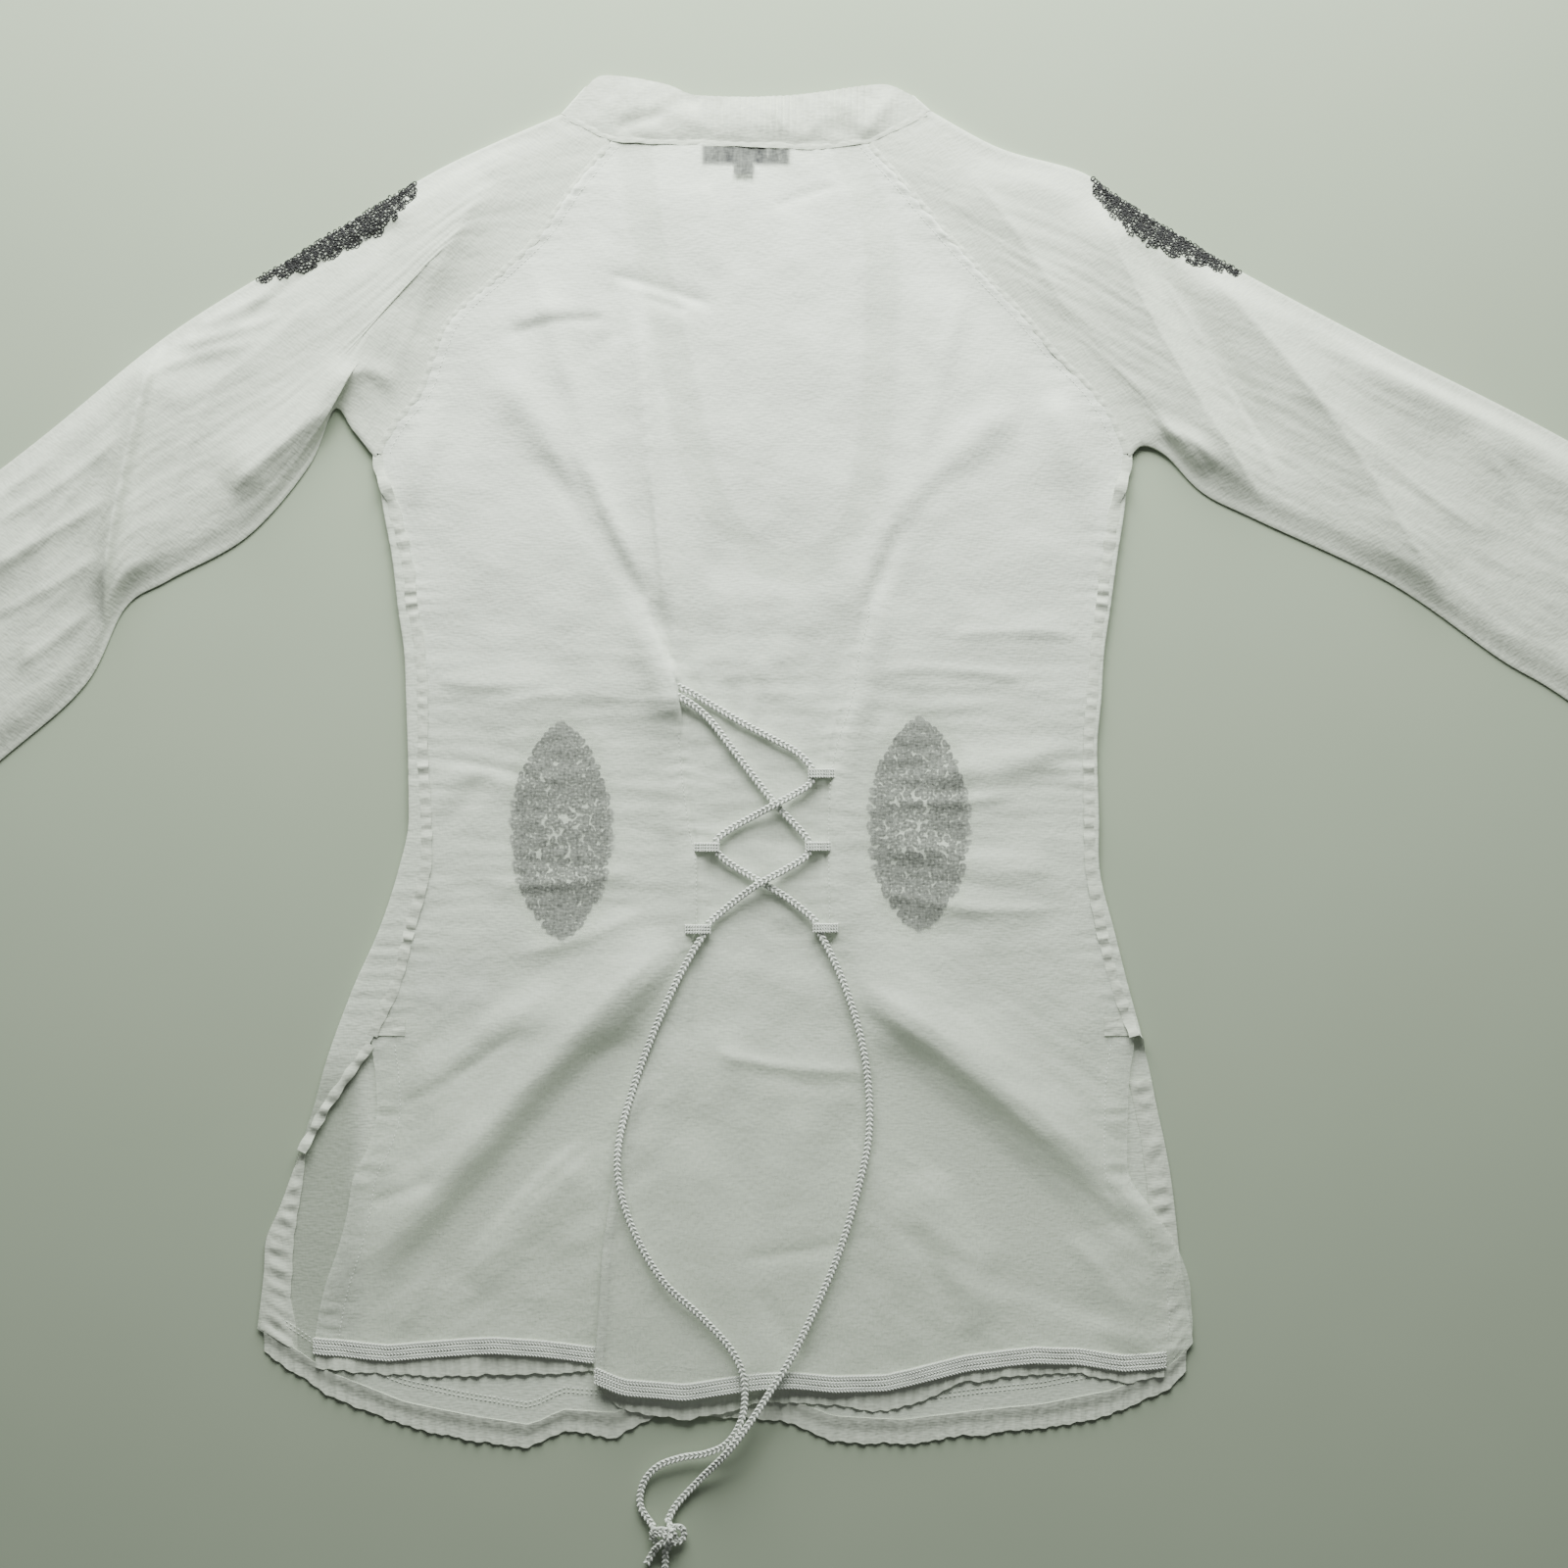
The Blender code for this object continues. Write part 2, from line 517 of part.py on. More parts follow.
def lace_ground(back, x, y):
    # What the lace lies on: the back panel, its braid and ruffle, then the table.
    hem = hem_edge(BACK_HEM_LEFT + BACK_HEM_RIGHT, x)
    on_cloth = back.top(x, max(y, hem + 1))
    braid = smoothstep((hem + BRAID_WIDTH + 10 - y) / 8)
    off = smoothstep((hem - 13 - y) / 34)
    return (on_cloth + APART * braid) * (1 - off)


def lace_points(back, route):
    # The smooth route, lifted clear of the cloth's bumps; a point at each row and more
    # between rows that lie far apart.
    dense = []
    for index in range(len(route) - 1):
        near = route[max(index - 1, 0):index + 3]
        dense.append([spline_between([Vector(row) for row in near], index > 0, step / 8)
                      for step in range(8)])
    flat = [point for part in dense for point in part] + [Vector(route[-1])]
    ground = [lace_ground(back, point.x, point.y) for point in flat]
    high = [max(ground[max(index - 5, 0):index + 6]) for index in range(len(flat))]
    even = [sum(high[max(index - 4, 0):index + 5]) / len(high[max(index - 4, 0):index + 5])
            for index in range(len(flat))]
    points = [Vector((point.x, point.y, height + LACE_RADIUS + LACE_GAP + point.z))
              for point, height in zip(flat, even)]
    kept = []
    for index in range(len(route) - 1):
        kept.append(points[index * 8])
        if (Vector(route[index][:2]) - Vector(route[index + 1][:2])).length > LACE_SPACING:
            kept.append(points[index * 8 + 4])
    return kept + [points[-1]]


def spline_between(near, has_before, t):
    # A place between two of up to four neighbouring points of a route.
    before = near[0]
    start, end = (near[1], near[2]) if has_before else (near[0], near[1])
    after = near[-1]
    return 0.5 * ((2 * start) + (end - before) * t
                  + (2 * before - 5 * start + 4 * end - after) * t ** 2
                  + (3 * start - before - 3 * end + after) * t ** 3)


def loop_rows(back, loop, lace):
    # A strap that runs out along the cloth, round the lace and back into the dart.
    held = min(lace, key=lambda point: (point - Vector((loop.hold_x, loop.y, point.z))).length)
    outward = 1 if loop.root_x > loop.hold_x else -1
    ground = back.top(loop.root_x, loop.y) + 0.3 + WALL / 2
    middle_x = (loop.root_x + held.x + outward) / 2
    section = [(loop.root_x, ground), (middle_x, min(ground, held.z - LOOP_BORE))]
    for step in range(6):
        angle = math.pi * step / 5
        section.append((held.x - outward * (LOOP_BORE + LOOP_SLACK) * math.sin(angle),
                        held.z - LOOP_BORE * math.cos(angle)))
    section.append((middle_x, held.z + LOOP_BORE))
    section.append((loop.root_x, max(ground + 2 * APART, held.z)))
    return [[(x, held.y + side * LOOP_WIDTH / 2, z) for x, z in section] for side in (-1, 1)]


def bridge_rows(back, laces):
    ground = back.top(sum(BRIDGE_X) / 2, BRIDGE_Y[-1]) + 0.3 + WALL / 2
    top = max(lace[0].z for lace in laces) + LACE_RADIUS + 0.4 + WALL / 2
    heights = (ground, ground, top, top, ground, ground)
    return [[(x, y, z) for y, z in zip(BRIDGE_Y, heights)] for x in BRIDGE_X]


def start_scene():
    for item in list(bpy.data.objects):
        bpy.data.objects.remove(item, do_unlink=True)
    collection = bpy.data.collections.new("tunic_blouse")
    bpy.context.scene.collection.children.link(collection)
    return collection


def finish_object(item, collection, colour, roughness):
    material = bpy.data.materials.new(item.name)
    material.use_nodes = True
    shader = material.node_tree.nodes["Principled BSDF"]
    shader.inputs["Base Color"].default_value = (*colour, 1)
    shader.inputs["Roughness"].default_value = roughness
    shader.inputs["Metallic"].default_value = 0
    item.data.materials.append(material)
    collection.objects.link(item)


def split_cells(grid):
    # Each cell is split along the diagonal that climbs less, so that folds run on.
    for face in list(grid.faces):
        first, second, third, fourth = face.verts
        if abs(first.co.z - third.co.z) <= abs(second.co.z - fourth.co.z):
            bmesh.utils.face_split(face, first, third)
        else:
            bmesh.utils.face_split(face, second, fourth)


def cloth(collection, name, rows, colour=COTTON, closed=False, hole=None, folds=False):
    # A wall of even thickness on both sides of a grid of points.
    across = len(rows[0])
    grid = bmesh.new()
    bmesh.ops.create_grid(grid, x_segments=across - 1, y_segments=len(rows) - 1, size=1)
    grid.verts.ensure_lookup_table()
    for index, vertex in enumerate(grid.verts):
        vertex.co = Vector(rows[index // across][index % across]) * MM
    if hole:
        gone = [face for face in grid.faces
                if all(hole(corner.index // across, corner.index % across)
                       for corner in face.verts)]
        bmesh.ops.delete(grid, geom=gone, context="FACES")
    if closed:
        bmesh.ops.remove_doubles(grid, verts=grid.verts[:], dist=1e-6)
    if folds:
        split_cells(grid)
    mesh = bpy.data.meshes.new(name)
    grid.to_mesh(mesh)
    grid.free()
    mesh.shade_smooth()
    item = bpy.data.objects.new(name, mesh)
    solid = item.modifiers.new("Wall", "SOLIDIFY")
    solid.thickness = WALL * MM
    solid.offset = 0
    solid.use_even_offset = True
    finish_object(item, collection, colour, COTTON_ROUGHNESS)
    return item


def cord(collection, name, points):
    curve = bpy.data.curves.new(name, "CURVE")
    curve.dimensions = "3D"
    curve.bevel_depth = LACE_RADIUS * MM
    curve.bevel_resolution = 2
    curve.use_fill_caps = True
    line = curve.splines.new("POLY")
    line.points.add(len(points) - 1)
    for place, point in zip(line.points, points):
        place.co = (*(point * MM), 1)
    finish_object(bpy.data.objects.new(name, curve), collection, BRAID, CORD_ROUGHNESS)


def knot(collection):
    ball = bmesh.new()
    bmesh.ops.create_uvsphere(ball, u_segments=12, v_segments=8, radius=0.5)
    for vertex in ball.verts:
        vertex.co = Vector((vertex.co.x * KNOT_SIZE[0], vertex.co.y * KNOT_SIZE[1],
                            vertex.co.z * KNOT_SIZE[2])) * MM
    mesh = bpy.data.meshes.new("lace_knot")
    ball.to_mesh(mesh)
    ball.free()
    mesh.shade_smooth()
    item = bpy.data.objects.new("lace_knot", mesh)
    item.location = Vector((*KNOT_CENTRE, KNOT_SIZE[2] / 2 + 0.3)) * MM
    finish_object(item, collection, BRAID, CORD_ROUGHNESS)


def build():
    collection = start_scene()
    back, front = back_grid(), front_grid()
    cloth(collection, "back_panel", back, folds=True)
    turned = TURN_STEPS + 2
    neck_first, neck_last = turned + 6, turned + 9
    cloth(collection, "front_panel", front,
          hole=lambda row, place: row <= NECK_BOTTOM_ROW and neck_first <= place <= neck_last)
    for side, sleeve in zip((-1, 1), SLEEVES):
        cloth(collection, sleeve.name, sleeve_rings(sleeve, side), closed=True, folds=True)
    cloth(collection, "collar", collar_rows())
    cloth(collection, "neck_facing", band_rows())

    last = len(BODY_ROWS) - 1
    for name, columns, table in (("left", slice(0, SIDE_COLUMNS + 1), BACK_HEM_LEFT),
                                 ("right", slice(SIDE_COLUMNS + 1, None), BACK_HEM_RIGHT)):
        braid = raised(back, (last - 1, last), columns, APART)
        cloth(collection, "hem_braid_" + name, braid, BRAID)
        cloth(collection, "hem_ruffle_" + name,
              ruffle_rows(back[last][columns], table, None, WAVE_HEIGHT))
    hem_points = front[last][TURN_STEPS + 2:-(TURN_STEPS + 2)]
    cloth(collection, "hem_ruffle_front", ruffle_rows(hem_points, FRONT_HEM, LOWER, WAVE_HEIGHT))
    slit = range(BODY_ROWS.index(-228), last + 1)
    cloth(collection, "slit_facing_left",
          raised(front, slit, slice(0, TURN_STEPS + 4), APART))
    slit = range(BODY_ROWS.index(-185), last + 1)
    cloth(collection, "slit_facing_right",
          raised(front, slit, slice(-(TURN_STEPS + 4), None), APART))

    for tab in TABS:
        rows = [[(x, y, back_height(x, y) + tab.lift)
                 for x in spread(tab.x_min, tab.x_max, 3) + [tab.x_max]]
                for y in (tab.y_max, (tab.y_min + tab.y_max) / 2, tab.y_min)]
        colour = CHARCOAL if tab.name in ("neck_label", "hanger_loop") else COTTON
        cloth(collection, tab.name, rows, colour)
    panel = Cloth(back)
    laces = [lace_points(panel, LACE_A), lace_points(panel, LACE_B)]
    cord(collection, "lace_a", laces[0])
    cord(collection, "lace_b", laces[1])
    cord(collection, "lace_tail_left", lace_points(panel, TAIL_LEFT))
    cord(collection, "lace_tail_down", lace_points(panel, TAIL_DOWN))
    for loop in LOOPS:
        cloth(collection, loop.name, loop_rows(panel, loop, laces[0] + laces[1]), BRAID)
    cloth(collection, "loop_left_top", bridge_rows(panel, laces), BRAID)
    knot(collection)


build()
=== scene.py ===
import math
from collections import namedtuple

import bmesh
import bpy
import numpy as np
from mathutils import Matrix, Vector, noise


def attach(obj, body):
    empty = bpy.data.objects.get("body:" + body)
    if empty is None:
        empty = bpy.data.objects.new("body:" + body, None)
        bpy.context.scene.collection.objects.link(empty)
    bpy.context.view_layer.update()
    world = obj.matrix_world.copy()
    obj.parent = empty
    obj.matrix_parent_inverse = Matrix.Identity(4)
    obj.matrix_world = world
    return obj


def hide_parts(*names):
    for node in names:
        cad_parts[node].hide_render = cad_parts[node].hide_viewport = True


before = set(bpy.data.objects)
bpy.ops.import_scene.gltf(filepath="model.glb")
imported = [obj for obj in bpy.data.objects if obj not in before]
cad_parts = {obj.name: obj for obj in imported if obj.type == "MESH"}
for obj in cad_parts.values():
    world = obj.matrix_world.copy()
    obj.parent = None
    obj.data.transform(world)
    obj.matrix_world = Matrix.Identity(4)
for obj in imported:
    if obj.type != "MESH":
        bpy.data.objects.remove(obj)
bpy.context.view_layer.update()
mm = 0.001


# Helpers for numbers

def smooth(value):
    value = np.clip(value, 0.0, 1.0)
    return value * value * (3 - 2 * value)


def hexColour(text):
    # An sRGB hex colour as the linear values that shaders take.
    parts = [int(text[place:place + 2], 16) / 255 for place in (1, 3, 5)]
    return [part / 12.92 if part <= 0.04045 else ((part + 0.055) / 1.055) ** 2.4
            for part in parts] + [1.0]


def curveThrough(points, steps=8):
    # A smooth curve through all the points, with a few steps from each to the next.
    given = np.array(points, float)
    before = np.vstack((given[:1], given[:-2]))
    after = np.vstack((given[2:], given[-1:]))
    start, end = given[:-1], given[1:]
    rows = []
    for step in range(steps):
        t = step / steps
        rows.append(0.5 * (2 * start + (end - before) * t
                           + (2 * before - 5 * start + 4 * end - after) * t ** 2
                           + (3 * start - before - 3 * end + after) * t ** 3))
    inside = np.stack(rows, axis=1).reshape(-1, given.shape[1])
    return np.vstack((inside, given[-1:]))


def evenly(points, count=None, pitch=None):
    # The same line with its points evenly spaced.
    points = np.array(points, float)
    along = np.concatenate(([0], np.cumsum(np.linalg.norm(np.diff(points, axis=0), axis=1))))
    if count is None:
        count = max(int(round(along[-1] / pitch)), 2)
    places = np.linspace(0, along[-1], count + 1)
    return np.stack([np.interp(places, along, points[:, axis])
                     for axis in range(points.shape[1])], axis=1)


def lineLength(points):
    return float(np.linalg.norm(np.diff(np.array(points), axis=0), axis=1).sum())


def bumps(x, y, size, seed):
    # Soft uneven bumps about one size apart, between -1 and 1.
    x, y = np.broadcast_arrays(x, y)
    values = [noise.noise((a / size, b / size, seed)) for a, b in zip(x.ravel(), y.ravel())]
    return np.array(values).reshape(x.shape)


# The garment's sections, as in the part's source: y and then seven places across

bodyColumns = {"outlineLeft": 1, "frontLeft": 2, "backLeft": 3, "dartLeft": 4,
               "dartRight": 5, "backRight": 6, "outlineRight": 7}
bodySections = [
    (368, -82, -82, -82, -28, 28, 64, 64),
    (340, -105, -105, -105, -31, 35, 88.5, 88.5),
    (311, -126, -126, -126, -35, 41, 113.5, 113.5),
    (290, -148, -148, -148, -37, 43, 132.5, 132.5),
    (266, -174, -174, -174, -40, 46, 156, 156),
    (248, -183, -183, -183, -43, 49, 171, 171),
    (222, -193, -193, -193, -46, 52, 196, 196),
    (206, -206, -206, -206, -49, 54, 206, 206),
    (186, -215.5, -215.5, -215.5, -52, 57, 213, 213),
    (160, -213, -207, -207, -56, 60, 206.5, 212),
    (130, -207.5, -199.5, -199.5, -59, 63.5, 202, 207.5),
    (100, -204, -195.5, -195.5, -60, 64, 198, 203.5),
    (75, -200.5, -191.5, -191.5, -51, 58.5, 195, 200),
    (50, -199.5, -190, -190, -42.5, 54.5, 193, 198.5),
    (20, -198.5, -190, -190, -41.5, 45, 191, 196),
    (-20, -198, -188, -188, -37, 41, 191.5, 197),
    (-50, -204, -188.5, -188.5, -32, 41, 192.5, 197.5),
    (-85, -215.5, -198, -198, -33, 42, 199, 206),
    (-115, -229, -205.5, -205.5, -44, 44.5, 206.5, 213.5),
    (-148, -241.5, -219, -219, -59, 48, 217, 222.5),
    (-165, -247, -231, -217, -65, 49.5, 214.5, 226.5),
    (-185, -252.5, -245, -216, -71, 51, 213.5, 230.5),
    (-208, -260, -258, -221.5, -76.5, 52, 213, 235.5),
    (-225, -266, -266, -229.5, -79.5, 53.5, 214.5, 238.5),
    (-245, -273, -273, -233, -83, 55, 229, 241),
    (-265, -280, -280, -238, -86, 56, 242, 243),
    (-290, -281.5, -281.5, -246, -88, 58, 249.5, 246),
    (-320, -284, -284, -251.5, -90.5, 59.5, 247, 250),
    (-330, -285, -285, -252, -91, 60, 235, 251),
]
raglanRows = (368, 354, 340, 325, 311, 290, 266, 248, 222, 206, 186)
slitTop = -148
panelBottom = -330
neckSeam = [(-110, 383), (-97, 376.5), (-82, 369.3), (-60, 368), (0, 366), (35, 364.5),
            (64, 368), (82, 376), (100, 385)]
# Lower edges of the panels: x, the edge's y, and how far the ruffle reaches below it
backHemLeft = [(-252, -326, 8), (-210, -330, 8), (-180, -327.5, 11), (-150, -325.5, 12),
               (-120, -327.5, 11), (-94, -331, 5)]
backHemRight = [(-91, -342, 2), (-75, -349, 9), (-40, -352, 12), (-8, -347, 11), (5, -345.5, 7),
                (20, -345, 9), (45, -347.5, 7), (75, -347, 12), (100, -341, 10), (120, -336, 6),
                (160, -331, 7), (185, -332, 4), (212, -336, 7), (235, -334, 4)]
frontHem = [(-285, -312, 10), (-262, -326, 12), (-245, -338, 12), (-200, -356, 12),
            (-160, -364, 12), (-128, -369, 12), (-110, -360, 11), (-80, -362, 12),
            (-50, -347, 11), (-20, -351, 12), (15, -352, 12), (45, -364, 12), (85, -366, 12),
            (125, -361, 12), (165, -357, 12), (205, -349, 12), (240, -334, 11), (251, -320, 10)]
# The front's neck opening: y, its left and its right edge
neckOpening = [(368, -58, 40), (311, -49, 60), (260, -38, 61), (215, -28, 58.5),
               (180, -20, 54), (160, -12, 50), (147, -3, 44), (140, 5, 36), (136, 14, 27)]

lay = {"wallMiddle": 0.5, "turnRadius": 1.3, "pillow": 1.6, "dartPucker": 2.2,
       "pleatStep": 3.2, "pleatTop": -90, "seamGap": -0.05, "cloth": 0.4, "layer": 1.3}
upperLevel = lay["wallMiddle"] + 2 * lay["turnRadius"]


def tableAt(table, place, y):
    # One column of a table of sections, on a smooth curve that doesn't overshoot.
    rows = np.array(table, float)
    keys, values = -rows[:, 0], rows[:, place]
    slopes = np.diff(values) / np.diff(keys)
    before, after = np.insert(slopes, 0, slopes[0]), np.append(slopes, slopes[-1])
    tangents = np.where(before * after > 0, (before + after) / 2, 0)
    place = np.clip(np.searchsorted(keys, -y) - 1, 0, len(keys) - 2)
    span = keys[place + 1] - keys[place]
    share = np.clip((-y - keys[place]) / span, 0, 1)
    return (values[place] * (1 + 2 * share) * (1 - share) ** 2
            + values[place + 1] * share ** 2 * (3 - 2 * share)
            + tangents[place] * span * share * (1 - share) ** 2
            - tangents[place + 1] * span * share ** 2 * (1 - share))


def bodyAt(name, y):
    return tableAt(bodySections, bodyColumns[name], np.asarray(y, float))


def edgeAt(table, x, place=1):
    # One column of an edge's table, straight from row to row.
    rows = np.array(table, float)
    return np.interp(x, rows[:, 0], rows[:, place])


def hemDrop(table, x, y, start):
    # How far a place moves so that the panel's last row lies on its curved hem.
    return smooth((start - y) / (start - panelBottom)) * (edgeAt(table, x) - panelBottom)


# Folds: a line's start, bend and end, its half width, its height, and its lean to one side

Fold = namedtuple("Fold", "startX startY bendX bendY endX endY width height lean", defaults=[0])
backFolds = [
    (-186, 250, -189, 190, -200, 150, 10, 3.5), (-165, 220, -172, 185, -192, 150, 8, -2.5),
    (-150, 235, -110, 200, -66, 108, 11, 2.8), (-125, 190, -92, 150, -62, 100, 7, -2.2),
    (-72, 270, -62, 170, -54, 90, 9, 2.4), (-140, 262, -112, 270, -80, 262, 10, 2.0),
    (150, 215, 105, 190, 64, 105, 11, 2.8), (118, 185, 88, 150, 66, 108, 7, -2.2),
    (172, 225, 180, 185, 200, 140, 10, 3.5), (-185, 10, -150, 6, -110, 0, 9, 1.8),
    (-190, -25, -165, -12, -150, 5, 8, -1.6), (180, 20, 140, 10, 95, 5, 9, 1.8),
    (180, -50, 130, -52, 70, -30, 10, 1.6), (-42, -95, -120, -160, -222, -288, 15, 5.0, -0.45),
    (-75, -145, -130, -205, -195, -290, 11, -3.5), (-110, -120, -165, -150, -205, -190, 12, 2.6),
    (-95, -215, -135, -240, -165, -290, 11, 3.4, 0.4),
    (58, -115, 150, -180, 240, -268, 15, 5.0, 0.45), (60, -150, 120, -210, 190, -262, 12, -3.2),
    (95, -220, 110, -270, 130, -310, 14, 2.6), (-10, -155, 25, -172, 60, -166, 9, -2.2),
    (-40, -200, -20, -270, 10, -330, 22, 2.4), (210, -250, 225, -290, 215, -322, 20, 3.0)]
backCreases = [
    (-48, -90, -122, -156, -228, -284, 17, 2.6, -0.15),
    (-62, -140, -118, -200, -190, -300, 24, -2.4),
    (58, -110, 150, -174, 244, -262, 17, 2.6, 0.15), (62, -165, 118, -218, 196, -280, 26, -2.4),
    (-30, 120, 0, 140, 34, 128, 22, -1.2), (-115, 205, -92, 155, -60, 102, 2.6, -0.9),
    (-100, 190, -80, 150, -62, 105, 2.2, 0.7), (-67, 270, -60, 170, -44, 58, 4.5, 1.9, 0.6),
    (-58, 265, -50, 170, -40, 62, 4.0, -0.9), (90, 165, 72, 120, 62, 98, 2.6, -0.9),
    (68, 160, 65, 120, 61, 98, 2.2, 0.7), (84, 152, 78, 128, 70, 106, 2.4, -0.7),
    (-84, 291, -58, 286, -24, 273, 3.4, -1.2, 0.4), (-66, 279, -52, 275, -38, 270, 2.6, -0.7),
    (-142, 257, -112, 268, -84, 265, 6.5, -1.5, -0.4), (10, 330, 28, 338, 46, 343, 3.0, -0.6),
    (-80, 290, -81, 270, -78, 250, 3.6, -0.9), (-30, 345, -20, 318, -22, 290, 5.0, 0.6),
    (52, 344, 62, 318, 60, 286, 6.0, 0.6), (-130, 300, -102, 225, -78, 132, 6.0, 0.8, 0.3),
    (122, 292, 100, 212, 82, 132, 6.0, 0.8, -0.3), (-22, 262, -26, 190, -30, 118, 7.0, 0.7),
    (32, 268, 40, 190, 46, 118, 7.0, 0.8), (-185, 15, -150, 11, -118, 0, 3.6, -0.9),
    (-186, -30, -166, -16, -158, 2, 3.4, -0.9), (-182, 60, -150, 52, -112, 62, 6.0, 0.6),
    (-70, 48, -110, 58, -146, 44, 5.0, 0.7), (-66, -48, -108, -60, -152, -56, 5.0, 0.8),
    (-60, -70, -96, -92, -140, -98, 5.5, 0.9), (66, 62, 112, 72, 156, 58, 5.0, 0.6),
    (64, -8, 104, -14, 150, -6, 5.0, 0.7), (66, -58, 118, -76, 168, -72, 5.5, 0.9),
    (186, 84, 150, 92, 112, 84, 7.0, 0.7), (-130, -140, -166, -164, -202, -186, 3.6, -1.0),
    (-180, -225, -200, -233, -219, -240, 3.2, -0.9),
    (-98, -205, -137, -236, -168, -280, 3.4, 1.7, -0.5),
    (-62, -122, -106, -164, -150, -222, 3.4, 0.9, 0.5),
    (90, -250, 104, -280, 120, -306, 4.6, -1.1), (132, -276, 166, -292, 204, -304, 11, -1.6),
    (150, -236, 186, -262, 214, -296, 5.0, 1.1, -0.4),
    (72, -128, 120, -160, 170, -206, 3.0, 0.8, -0.5), (-10, 96, -15, 64, -14, 26, 3.0, 0.8, 0.3),
    (2, 100, 6, 66, -4, 28, 3.2, 0.8, -0.3), (-34, 76, -26, 44, -8, 14, 4.0, 0.7),
    (-22, -152, 4, -163, 66, -164, 9, 1.9, -0.4), (0, -280, 14, -300, 30, -318, 4.0, -0.8),
    (-10, -268, 26, -266, 60, -259, 2.8, -0.7), (-31, -95, -36, -150, -42, -290, 2.6, -0.8, 0.4),
    (22, -184, 32, -242, 30, -312, 8.0, 0.9), (62, -200, 82, -262, 92, -322, 8.0, 0.9),
    (-58, -190, -60, -240, -66, -318, 5.0, 0.8), (-150, -232, -186, -280, -206, -316, 5.0, 0.8)]


# Crumples of all sizes: height, how much narrower than long they are, size and seed
backCrumples = [(1.25, 1, 38, 3.1), (0.42, 1, 15, 8.4), (0.18, 0.8, 7.0, 5.7)]


def foldRelief(folds, x, y, crisp=False):
    # Height that a list of folds gives at each place. Crisp ones have a sharp crest.
    total = np.zeros(np.shape(x))
    steps = np.linspace(0, 1, 9)[:, None]
    for fold in [Fold(*row) for row in folds]:
        start, bend, end = np.array(fold[:6], float).reshape(3, 2)
        line = start * (1 - steps) ** 2 + bend * 2 * steps * (1 - steps) + end * steps ** 2
        nearest, share, side = np.full(total.shape, 1e9), np.zeros(total.shape), 1.0
        for index, (a, b) in enumerate(zip(line, line[1:])):
            dx, dy = b - a
            t = np.clip(((x - a[0]) * dx + (y - a[1]) * dy) / (dx * dx + dy * dy), 0, 1)
            across, up = x - a[0] - t * dx, y - a[1] - t * dy
            far = np.hypot(across, up)
            closer = far < nearest
            nearest = np.where(closer, far, nearest)
            share = np.where(closer, (index + t) / 8, share)
            side = np.where(closer, np.sign(dx * up - dy * across), side)
        width = fold.width * (1 + fold.lean * side)
        fade = smooth(share * 4 + 0.25) * smooth((1 - share) * 4 + 0.25)
        fall = (np.hypot(nearest, 0.7) - 0.7) / width if crisp else (nearest / width) ** 2
        total = total + fold.height * fade * np.exp(-fall)
    return total


def softFloor(height):
    return 0.5 * (height + np.sqrt(height * height + 0.3)) - 0.27


def ladder(distance, phase, pitch, reach, height):
    # Small puckers that stand across a seam and fade away from it.
    wander = 1.7 * np.sin(phase / 23.0) + 1.1 * np.sin(phase / 9.7 + 2)
    uneven = smooth(0.45 + 0.4 * np.sin(phase / 17.0 + 1.0) + 0.35 * np.sin(phase / 5.3))
    return height * uneven * np.sin(phase * math.tau / pitch + wander) * np.exp(-distance / reach)


def backPlace(x, y):
    # How far each place lies inside the back's edges, and outside each dart's line.
    inside = np.minimum(x - bodyAt("backLeft", y), bodyAt("backRight", y) - x)
    outwards = (bodyAt("dartLeft", y) - x, x - bodyAt("dartRight", y))
    between = smooth(-outwards[0] / 8) * smooth(-outwards[1] / 8)
    return inside, outwards, between


def backPlain(x, y):
    # The back panel's main form, as the solid has it, without the pleat.
    inside, outwards, between = backPlace(x, y)
    openEdge = smooth((slitTop - y) / 60)
    edge = np.maximum(smooth(inside / 34), 0.35 * openEdge) * smooth((372 - y) / 40)
    height = lay["pillow"] * smooth(inside / 60) + foldRelief(backFolds, x, y)
    inDarts = smooth((112 - y) / 30) * smooth((y + 115) / 40)
    for outward in outwards:
        height = height + lay["dartPucker"] * inDarts * np.exp(-((outward - 9) / 8) ** 2)
    height = height * (1 - 0.8 * inDarts * between)
    return edge * softFloor(height)


